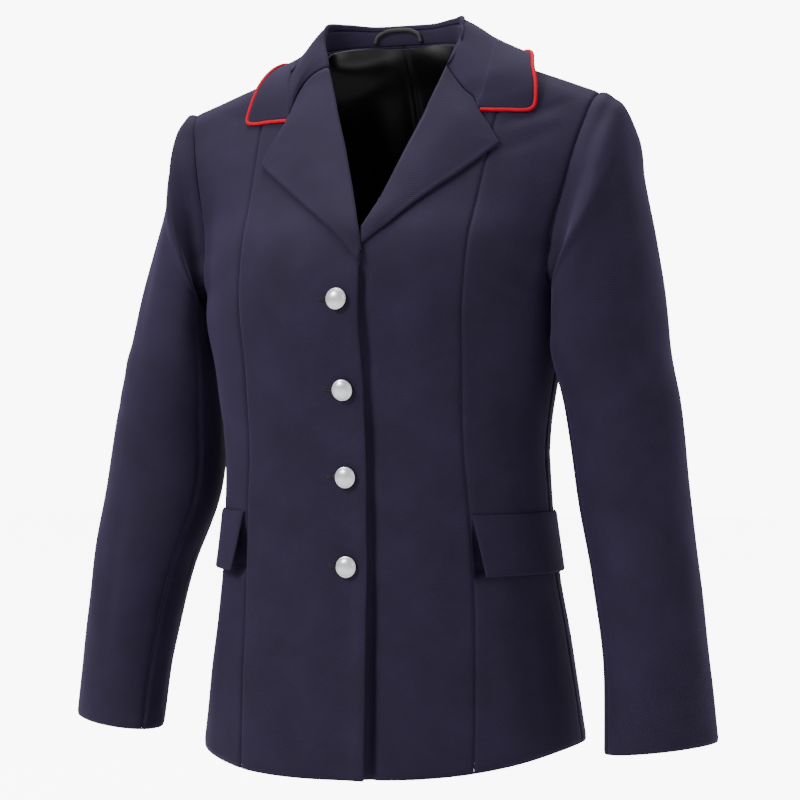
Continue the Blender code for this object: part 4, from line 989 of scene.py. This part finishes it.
seam_share = np.linspace(0.0, 1.0, 46)
table = np.array(COLLAR_ROWS[1])
roll = smooth(range(len(table)), table[:, :3], seam_share * STAND_END)
low = neck_line(seam_share) + np.array([0.0, 0.0, STAND_LIFT])
up = np.concatenate([[0.0, 0.03, 0.08], np.linspace(0.15, 0.85, 9), [0.92, 0.97, 1.0]])
stand = low[None] + (roll - low)[None] * (STAND_SHARE * up)[:, None, None]
stand = np.concatenate([mirrored(stand, -1)[:, ::-1], stand[:, 1:]], axis=1)
stand_out = sheet_normals(stand)
if stand_out[7, stand.shape[1] // 2, 1] < 0.0:
    stand_out = -stand_out
dent = -seam_dip(stand, ("first_row", "last_row"), 0.0006, 0.0010)[..., None]
piece = wall("wool_collar_stand", stand + STAND_CLOTH * stand_out, stand + dent * stand_out)
piece.data.materials.append(navy)
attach(piece, "root")
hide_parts("collar_stand")


# Piping
# A cotton cord covered with bright red bias cloth, sewn into the edge of the collar all round.
PIPING_WIDE = 0.0019
PIPING_HIGH = 0.0016
PIPING_START = 0.0030
PIPING_AROUND = 14
PIPING_RED = "D60028"
PIPING_SHADE = "A0001C"


def tube(name, path, aside, out, half_wide, half_high, around):
    """A closed cord along a path, oval across aside and out."""
    turns = np.linspace(0.0, 2.0 * math.pi, around, endpoint=False)
    ring = (half_wide * np.cos(turns)[None, :, None] * aside[:, None]
            + half_high * np.sin(turns)[None, :, None] * out[:, None])
    points = (path[:, None] + ring).reshape(-1, 3)
    index = np.arange(len(points)).reshape(len(path), around)
    after = np.roll(index, -1, axis=1)
    faces = np.stack([index[:-1], after[:-1], after[1:], index[1:]], axis=-1).reshape(-1, 4).tolist()
    faces.append(tuple(range(around)))
    faces.append(tuple(int(k) for k in index[-1, ::-1]))
    flat = np.stack([np.repeat(turns[None] * half_wide * 1000.0, len(path), axis=0),
                     np.repeat(length_along(path)[:, None] * 1000.0, around, axis=1)], axis=-1).reshape(-1, 2)
    return joined_mesh(name, points, faces, flat)


def bias_cloth(name, base, shade):
    """Plain woven cotton cut on the bias and drawn round a cord: satin-soft, with slanting threads."""
    material, tree, shader = new_finish(name)
    place = add_node(tree, "ShaderNodeUVMap", uv_map="cloth_mm")
    turned = add_node(tree, "ShaderNodeMapping", {"Vector": place.outputs["UV"], "Rotation": (0.0, 0.0, 0.785)})
    threads = add_node(tree, "ShaderNodeTexWave", {"Vector": turned.outputs["Vector"], "Scale": 0.36,
                                                   "Distortion": 1.5, "Detail": 1.0}, bands_direction="X")
    tone = add_node(tree, "ShaderNodeMix", {"Factor": threads.outputs["Fac"], "A": colour(shade), "B": colour(base)},
                    data_type="RGBA")
    relief = add_node(tree, "ShaderNodeBump", {"Height": threads.outputs["Fac"], "Strength": 0.3,
                                               "Distance": 0.0002})
    set_inputs(tree, shader, {"Base Color": tone.outputs["Result"], "Normal": relief.outputs["Normal"],
                              "Roughness": 0.65, "Specular IOR Level": 0.10})
    return material


border = np.concatenate([fall[0, notch:-1], fall[:, -1], fall[-1, notch:-1][::-1]])
border_out = np.concatenate([fall_out[0, notch:-1], fall_out[:, -1], fall_out[-1, notch:-1][::-1]])
length = length_along(border)
at = np.concatenate([np.arange(PIPING_START, length[-1] - PIPING_START, 0.0013), [length[-1] - PIPING_START]])
path = points_at(border, length, at)
out = unit(points_at(border_out, length, at))
along = unit(np.gradient(path, axis=0))
aside = unit(np.cross(along, out))
inward = fall[middle, rolls + 12] - path[len(path) // 2]
if np.dot(aside[len(path) // 2], inward) > 0.0:
    aside = -aside
path = path + aside * (PIPING_WIDE - 0.0002) - out * (0.5 * COLLAR_CLOTH)
path = softened(path, 3)
piece = tube("red_piping", path, aside, unit(np.cross(aside, along)), PIPING_WIDE, PIPING_HIGH,
             PIPING_AROUND)
piece.data.materials.append(bias_cloth("red_bias_cotton", PIPING_RED, PIPING_SHADE))
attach(piece, "root")
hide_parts("collar_piping")


# Pocket flaps
# A straight flap of doubled twill on each side, sewn in along its top from the front seam to the side.
# Its front end slants and stands off the jacket, so that the pocket mouth behind it is dark.
FLAP_LENGTH = 0.145
FLAP_SLANT = 0.010
FLAP_START = 0.1135
FLAP_LIFT = (0.0009, 0.0025, 0.0060)
FLAP_CLOTH = 0.0022
FLAP_DOWN = (0.0, 0.008, 0.02, 0.04, 0.08, 0.14, 0.22, 0.32, 0.42, 0.52, 0.62, 0.72, 0.82, 0.9, 0.95, 0.975, 0.99,
             1.0)

for side, word in SIDES:
    front, front_out, back, back_out = shapes[side]
    tree = tree_of(np.concatenate([front[:, ::-1][:, :-1], front[:, :1]], axis=1)[:, ::-1])
    back_tree = tree_of(back)
    down = np.array(FLAP_DOWN)
    along = close_at_edges(44)
    places = np.zeros((len(down), len(along), 3))
    for i, share in enumerate(down):
        z = FLAP_TOP + (FLAP_BOTTOM - FLAP_TOP) * share
        line = []
        for turn in np.linspace(0.3, 2.6, 260):
            way = Vector((math.sin(turn), -math.cos(turn), 0.0))
            start = way * 0.5 + Vector((0.0, 0.0, z))
            hits = [h for h in (tree.ray_cast(start, -way)[0], back_tree.ray_cast(start, -way)[0]) if h is not None]
            line.append(min(hits, key=lambda hit: (hit - start).length))
        line = np.array(line)
        length = length_along(line)
        begin = float(np.interp(FLAP_START, line[:170, 0], length[:170]))
        front_end = begin + FLAP_SLANT * share
        at = front_end + (begin + FLAP_LENGTH - front_end) * along
        places[i] = points_at(line, length, at)
    places = softened(places.swapaxes(0, 1), 4).swapaxes(0, 1)
    out = sheet_normals(places)
    if out[5, 20, 0] < 0.0:
        out = -out
    lift = FLAP_LIFT[0] + down[:, None] * (FLAP_LIFT[1] + FLAP_LIFT[2] * (1.0 - along[None]) ** 2)
    lift = lift + 0.0006 * down[:, None] * np.sin(9.0 * along[None] + 1.0 + side)
    away = from_edges(places, ("last_row", "first_column", "last_column"))
    rounding = 0.0008 * bell(away, 0.0009)
    sewn = 0.0012 * bell(edge_distance(places, "first_row"), 0.0015)
    top = places + out * (lift + FLAP_CLOTH - rounding - sewn)[..., None]
    under = places + out * (lift + 0.6 * rounding)[..., None]
    piece = wall("wool_pocket_flap_" + word, mirrored(top[::-1], side), mirrored(under[::-1], side), side)
    piece.data.materials.append(navy)
    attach(piece, "root")
    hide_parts("pocket_flap_" + word)


# Buttons
# Four domed two-part buttons about 20 mm across, pressed from brass and plated a bright satin silver.
# Each has a shank behind it that passes through the buttonhole of the right front.
BUTTON_PROFILE = ((0.0, 0.0005), (0.0030, 0.0005), (0.0030, 0.0020), (0.0080, 0.0021), (0.0095, 0.0025),
                  (0.00995, 0.0031), (0.01000, 0.0037), (0.00985, 0.0042), (0.00945, 0.00445), (0.0091, 0.00455),
                  (0.0085, 0.0051), (0.0074, 0.0060), (0.0058, 0.0068), (0.0040, 0.0074), (0.0020, 0.0077),
                  (0.0, 0.0078))
BUTTON_AROUND = 56
BUTTON_SILVER = "F4F5F8"


def lathe(name, centre, axis, profile, around):
    """A closed turned piece, profile of radius and height along the axis."""
    axis = unit(np.array(axis))
    aside = unit(np.cross(axis, np.array([0.0, 0.0, 1.0])))
    other = np.cross(axis, aside)
    turns = np.linspace(0.0, 2.0 * math.pi, around, endpoint=False)
    spokes = np.cos(turns)[:, None] * aside + np.sin(turns)[:, None] * other
    points = [centre + axis * profile[0][1]]
    for radius, height in profile[1:-1]:
        points.extend(centre + axis * height + radius * spokes)
    points.append(centre + axis * profile[-1][1])
    last = len(points) - 1
    rings = len(profile) - 2
    faces = []
    for j in range(around):
        k = (j + 1) % around
        faces.append((0, 1 + k, 1 + j))
        top = 1 + (rings - 1) * around
        faces.append((last, top + j, top + k))
        for i in range(rings - 1):
            a = 1 + i * around
            faces.append((a + j, a + k, a + around + k, a + around + j))
    return joined_mesh(name, np.array(points), faces)


def satin_plate(name, base):
    """Silver-plated brass with a satin polish: bright, slightly clouded by handling."""
    material, tree, shader = new_finish(name)
    place = add_node(tree, "ShaderNodeTexCoord")
    cloud = add_node(tree, "ShaderNodeTexNoise", {"Vector": place.outputs["Object"], "Scale": 320.0, "Detail": 3.0})
    tone = add_node(tree, "ShaderNodeMix", {"Factor": cloud.outputs["Fac"], "A": colour("DCDEE4"), "B": colour(base)},
                    data_type="RGBA")
    gloss = add_node(tree, "ShaderNodeMapRange", {"Value": cloud.outputs["Fac"], "To Min": 0.24, "To Max": 0.36})
    grain = add_node(tree, "ShaderNodeTexNoise", {"Vector": place.outputs["Object"], "Scale": 2600.0, "Detail": 2.0})
    relief = add_node(tree, "ShaderNodeBump", {"Height": grain.outputs["Fac"], "Strength": 0.12, "Distance": 0.0001})
    set_inputs(tree, shader, {"Base Color": tone.outputs["Result"], "Normal": relief.outputs["Normal"],
                              "Roughness": gloss.outputs["Result"], "Metallic": 0.60})
    return material


silver = satin_plate("satin_silver_plate", BUTTON_SILVER)
button_places = []
for number, height in enumerate(BUTTON_HEIGHTS, start=1):
    spots = behind(front_trees[-1], np.array([[0.0, height], [0.010, height], [0.0, height + 0.010]]))
    axis = unit(np.cross(spots[1] - spots[0], spots[2] - spots[0]))
    if axis[1] > 0.0:
        axis = -axis
    button_places.append((spots[0], axis))
    piece = lathe("silver_button_%d" % number, mirrored(spots[0], -1), mirrored(axis, -1), BUTTON_PROFILE,
                  BUTTON_AROUND)
    piece.data.materials.append(silver)
    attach(piece, "root")
    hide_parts("button_%d" % number)


# Buttonholes
# Four keyhole slots worked in navy silk twist across the right front, each ending under its button.
# A gimp cord runs round the slot and the purl stitches over it lie side by side.
HOLE_LENGTH = 0.0225
HOLE_HALF = 0.0011
HOLE_START = -0.0030
HOLE_ROUND = 40
STITCH_PITCH = 0.00055
STITCH_REACH = 0.0024
STITCH_THREAD = 0.00024
STITCH_SEED = 7
TWIST_DARK = "08070F"
TWIST_LIGHT = "141126"


def silk_twist(name, dark, light):
    """Twisted silk buttonhole thread: dark navy with a slight gloss and a fine slanting ply."""
    material, tree, shader = new_finish(name)
    place = add_node(tree, "ShaderNodeTexCoord")
    ply = add_node(tree, "ShaderNodeTexNoise", {"Vector": place.outputs["Object"], "Scale": 3000.0, "Detail": 2.0})
    tone = add_node(tree, "ShaderNodeMix", {"Factor": ply.outputs["Fac"], "A": colour(dark), "B": colour(light)},
                    data_type="RGBA")
    relief = add_node(tree, "ShaderNodeBump", {"Height": ply.outputs["Fac"], "Strength": 0.3, "Distance": 0.0001})
    set_inputs(tree, shader, {"Base Color": tone.outputs["Result"], "Normal": relief.outputs["Normal"],
                              "Roughness": 0.5})
    return material


def stitch_nodes(name):
    """Thread bars set side by side along an edge line, each across it."""
    tree = bpy.data.node_groups.new(name, "GeometryNodeTree")
    tree.interface.new_socket("Geometry", in_out="INPUT", socket_type="NodeSocketGeometry")
    for label, kind in (("Pitch", "NodeSocketFloat"), ("Reach", "NodeSocketFloat"), ("Thread", "NodeSocketFloat"),
                        ("Seed", "NodeSocketInt"), ("Twist", "NodeSocketMaterial")):
        tree.interface.new_socket(label, in_out="INPUT", socket_type=kind)
    tree.interface.new_socket("Geometry", in_out="OUTPUT", socket_type="NodeSocketGeometry")
    given = add_node(tree, "NodeGroupInput")
    line = add_node(tree, "GeometryNodeMeshToCurve", {"Mesh": given.outputs["Geometry"]})
    spaced = add_node(tree, "GeometryNodeResampleCurve", {"Curve": line.outputs["Curve"],
                                                          "Length": given.outputs["Pitch"]}, mode="LENGTH")
    bar = add_node(tree, "GeometryNodeMeshCylinder", {"Vertices": 6, "Radius": given.outputs["Thread"],
                                                      "Depth": given.outputs["Reach"]})
    across = add_node(tree, "GeometryNodeInputNamedAttribute", {"Name": "across"}, data_type="FLOAT_VECTOR")
    turn = add_node(tree, "FunctionNodeAlignRotationToVector", {"Vector": across.outputs["Attribute"]}, axis="Z")
    size = add_node(tree, "FunctionNodeRandomValue", {"Seed": given.outputs["Seed"]}, data_type="FLOAT")
    size.inputs[2].default_value = 0.85
    size.inputs[3].default_value = 1.15
    stitches = add_node(tree, "GeometryNodeInstanceOnPoints", {
        "Points": spaced.outputs["Curve"], "Instance": bar.outputs["Mesh"], "Rotation": turn.outputs["Rotation"],
        "Scale": size.outputs[1]})
    real = add_node(tree, "GeometryNodeRealizeInstances", {"Geometry": stitches.outputs["Instances"]})
    dyed = add_node(tree, "GeometryNodeSetMaterial", {"Geometry": real.outputs["Geometry"],
                                                      "Material": given.outputs["Twist"]})
    add_node(tree, "NodeGroupOutput", {"Geometry": dyed.outputs["Geometry"]})
    return tree


def stitched(name, points, across, nodes, values):
    """The stitches of a node group along a closed line of points, as a plain mesh."""
    mesh = bpy.data.meshes.new(name + "_line")
    count = len(points)
    mesh.from_pydata(points.tolist(), [(k, (k + 1) % count) for k in range(count)], [])
    ways = mesh.attributes.new("across", "FLOAT_VECTOR", "POINT")
    ways.data.foreach_set("vector", across.astype(np.float32).ravel())
    item = bpy.data.objects.new(name, mesh)
    bpy.context.collection.objects.link(item)
    work = item.modifiers.new("stitches", "NODES")
    work.node_group = nodes
    keys = {socket.name: socket.identifier for socket in nodes.interface.items_tree if socket.in_out == "INPUT"}
    for label, value in values.items():
        work[keys[label]] = value
    seen = item.evaluated_get(bpy.context.evaluated_depsgraph_get())
    made = bpy.data.meshes.new_from_object(seen)
    item.modifiers.remove(work)
    item.data = made
    made.name = name
    return item


twist = silk_twist("navy_silk_twist", TWIST_DARK, TWIST_LIGHT)
stitch_group = stitch_nodes("buttonhole_stitches")
for number, height in enumerate(BUTTON_HEIGHTS, start=1):
    turns = np.linspace(0.0, 2.0 * math.pi, HOLE_ROUND, endpoint=False)
    half = 0.5 * HOLE_LENGTH
    slot = np.stack([HOLE_START + half + half * np.cos(turns),
                     height + HOLE_HALF * np.clip(1.6 * np.sin(turns), -1.0, 1.0)], axis=1)
    centre_line = np.stack([np.clip(slot[:, 0], HOLE_START + HOLE_HALF, HOLE_START + HOLE_LENGTH - HOLE_HALF),
                            np.full(HOLE_ROUND, height)], axis=1)
    place, axis = button_places[number - 1]
    edge = behind(front_trees[-1], slot) + 0.3 * STITCH_THREAD * axis
    hub = behind(front_trees[-1], centre_line)
    item = stitched("silk_buttonhole_%d" % number, mirrored(edge, -1), mirrored(unit(edge - hub), -1), stitch_group,
                    {"Pitch": STITCH_PITCH, "Reach": STITCH_REACH, "Thread": STITCH_THREAD,
                     "Seed": STITCH_SEED + number, "Twist": twist})
    for face in item.data.polygons:
        face.use_smooth = True
    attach(item, "root")


# Back lining
# Black acetate satin cut with a centre back pleat, felled to the neck, shoulders, armholes and side.
LINING = 0.0010
LINING_GAP = 0.0007
LINING_EASE = 0.0014
NECK_HEIGHTS = (-0.035, -0.008)
LINING_EDGES = (("first_column", 0.00015), ("last_row", 0.0020), ("first_row", 0.0150), ("last_column", 0.0040))
LINING_STEP = 2
PLEAT_HEIGHT = 0.0026
LINING_FOLDS = {
    1: ((0.030, -0.020, 0.036, -0.200, 0.012, 0.0016), (0.060, -0.030, 0.075, -0.300, 0.014, -0.0012),
        (0.110, -0.080, 0.120, -0.350, 0.014, 0.0014), (0.050, -0.400, 0.055, -0.640, 0.014, 0.0016)),
    -1: ((0.034, -0.015, 0.030, -0.210, 0.012, 0.0014), (0.064, -0.040, 0.070, -0.280, 0.014, -0.0014),
         (0.105, -0.070, 0.118, -0.330, 0.014, 0.0012), (0.045, -0.420, 0.050, -0.640, 0.014, 0.0014)),
}


def lining_satin(name, base, sheen, gloss_low):
    """Black acetate satin in long soft streaks: the lighter sheen colour along them is painted sheen, and the streaks
    also vary the real gloss and relief.
    """
    material, tree, shader = new_finish(name)
    place = add_node(tree, "ShaderNodeUVMap", uv_map="cloth_mm")
    stretched = add_node(tree, "ShaderNodeMapping", {"Vector": place.outputs["UV"], "Scale": (1.0, 0.12, 1.0)})
    floats_and_painted_sheen = add_node(tree, "ShaderNodeTexNoise", {"Vector": stretched.outputs["Vector"], "Scale": 0.8,
                                                   "Detail": 3.0})
    # Painted sheen: the black is mixed towards a lighter colour in soft streaks, standing in for the satin's
    # highlights.
    tone = add_node(tree, "ShaderNodeMix", {"Factor": floats_and_painted_sheen.outputs["Fac"], "A": colour(base), "B": colour(sheen)},
                    data_type="RGBA")
    gloss = add_node(tree, "ShaderNodeMapRange", {"Value": floats_and_painted_sheen.outputs["Fac"], "To Min": gloss_low,
                                                  "To Max": gloss_low + 0.14})
    relief = add_node(tree, "ShaderNodeBump", {"Height": floats_and_painted_sheen.outputs["Fac"], "Strength": 0.15, "Distance": 0.0002})
    set_inputs(tree, shader, {"Base Color": tone.outputs["Result"], "Normal": relief.outputs["Normal"],
                              "Roughness": gloss.outputs["Result"]})
    return material


# The second colour is the painted sheen of the lining's streaks.
satin = lining_satin("black_acetate_satin", "060607", "101013", 0.28)
for side, word in SIDES:
    _, _, back, back_out = shapes[side]
    keep = np.unique(np.concatenate([np.arange(0, back.shape[0], LINING_STEP), [back.shape[0] - 1]]))
    back = back[keep]
    back_out = back_out[keep]
    lift = CLOTH + LINING_GAP + LINING_EASE * ease(back[..., 2], *NECK_HEIGHTS)
    pleat = PLEAT_HEIGHT * bell(back[..., 0] - 0.004, 0.0035) * (1.0 if side == 1 else 0.25)
    inward = pleat * ease(-back[..., 2], -0.004, 0.020)
    inward += np.maximum(fold_heights(back[..., 0], back[..., 2], LINING_FOLDS[side]), -0.0003) + 0.0003
    satin_out = back - (lift + inward)[..., None] * back_out
    satin_in = satin_out - LINING * back_out
    for edge, distance in LINING_EDGES:
        satin_out = pull(satin_out, edge, distance)
        satin_in = pull(satin_in, edge, distance)
    piece = wall("satin_lining_back_" + word, mirrored(satin_out, side), mirrored(satin_in, side), side)
    piece.data.materials.append(satin)
    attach(piece, "root")
    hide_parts("lining_back_" + word)


# Hanger loop
# A narrow tube of the lining satin, sewn by its two ends below the collar stand.
LOOP = ((-0.0290, 0.0413, 0.0105), (-0.0270, 0.0415, 0.0165), (-0.0200, 0.0428, 0.0215),
        (-0.0050, 0.0440, 0.0235), (0.0090, 0.0436, 0.0220), (0.0160, 0.0430, 0.0175), (0.0185, 0.0427, 0.0105))
LOOP_WIDE = 0.0020
LOOP_HIGH = 0.0008
LOOP_AROUND = 12

loop = smooth_line(LOOP, np.linspace(0.0, 1.0, 60))
along = unit(np.gradient(loop, axis=0))
forward = np.tile(np.array([0.0, -1.0, 0.0]), (len(loop), 1))
upward = unit(np.cross(forward, along))
piece = tube("satin_hanger_loop", loop, upward, unit(np.cross(along, upward)), LOOP_WIDE, LOOP_HIGH, LOOP_AROUND)
# The second colour is the painted sheen of the ribbon's streaks.
piece.data.materials.append(lining_satin("black_satin_ribbon", "050506", "0B0B0D", 0.55))
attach(piece, "root")
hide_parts("hanger_loop")


# Studio
# A plain pale floor below the jacket, a white room and large soft lights, one higher on the left.
FLOOR_Z = -0.765
ROOM_LIGHT = 0.45
ROOM_SEEN = 9.0
FLOOR_SEEN = 8.0
CAMERA_TURN = math.radians(20.0)
CAMERA_DISTANCE = 2.2
CAMERA_ASIDE = 0.0116
CAMERA_Z = -0.3425
FOCAL_PIXELS = 2266.0
PICTURE_PIXELS = 800.0
SENSOR = 36.0

floor_mesh = bpy.data.meshes.new("floor")
floor_mesh.from_pydata([(-6, -6, FLOOR_Z), (6, -6, FLOOR_Z), (6, 6, FLOOR_Z), (-6, 6, FLOOR_Z)], [], [(0, 1, 2, 3)])
floor = bpy.data.objects.new("floor", floor_mesh)
bpy.context.collection.objects.link(floor)
paint, tree, shader = new_finish("white_studio_floor")
seen = add_node(tree, "ShaderNodeLightPath")
glow = add_node(tree, "ShaderNodeMapRange", {"Value": seen.outputs["Is Camera Ray"], "To Min": 0.0,
                                             "To Max": FLOOR_SEEN})
set_inputs(tree, shader, {"Base Color": colour("F6F6F6"), "Roughness": 0.9, "Emission Color": (1.0, 1.0, 1.0, 1.0),
                          "Emission Strength": glow.outputs["Result"]})
floor_mesh.materials.append(paint)

world = bpy.data.worlds.new("white_room")
bpy.context.scene.world = world
world.use_nodes = True
tree = world.node_tree
seen = add_node(tree, "ShaderNodeLightPath")
room = add_node(tree, "ShaderNodeMapRange", {"Value": seen.outputs["Is Camera Ray"], "To Min": ROOM_LIGHT,
                                             "To Max": ROOM_SEEN})
set_inputs(tree, tree.nodes["Background"], {"Color": (1.0, 1.0, 1.0, 1.0), "Strength": room.outputs["Result"]})

# Place, aim, width, height and power of each light
LIGHTS = (
    ("key", (-1.6, -2.0, 1.5), (0.0, 0.0, -0.25), 1.0, 1.0, 78.0),
    ("fill", (2.2, -1.2, 0.5), (0.0, 0.0, -0.30), 1.6, 1.8, 12.0),
    ("top", (-0.1, 0.2, 1.5), (0.0, 0.0, -0.1), 1.4, 0.9, 34.0),
)
for name, spot, aim, width, height, power in LIGHTS:
    lamp = bpy.data.lights.new(name, "AREA")
    lamp.shape = "RECTANGLE"
    lamp.size = width
    lamp.size_y = height
    lamp.energy = power
    item = bpy.data.objects.new(name, lamp)
    item.location = spot
    item.rotation_euler = (Vector(aim) - Vector(spot)).to_track_quat("-Z", "Y").to_euler()
    bpy.context.collection.objects.link(item)

lens = bpy.data.cameras.new("photo_camera")
lens.sensor_width = SENSOR
lens.lens = FOCAL_PIXELS / PICTURE_PIXELS * SENSOR
camera = bpy.data.objects.new("photo_camera", lens)
camera.location = (CAMERA_DISTANCE * math.sin(CAMERA_TURN) + CAMERA_ASIDE * math.cos(CAMERA_TURN),
                   -CAMERA_DISTANCE * math.cos(CAMERA_TURN) + CAMERA_ASIDE * math.sin(CAMERA_TURN), CAMERA_Z)
camera.rotation_euler = (math.pi / 2.0, 0.0, CAMERA_TURN)
bpy.context.collection.objects.link(camera)
bpy.context.scene.camera = camera
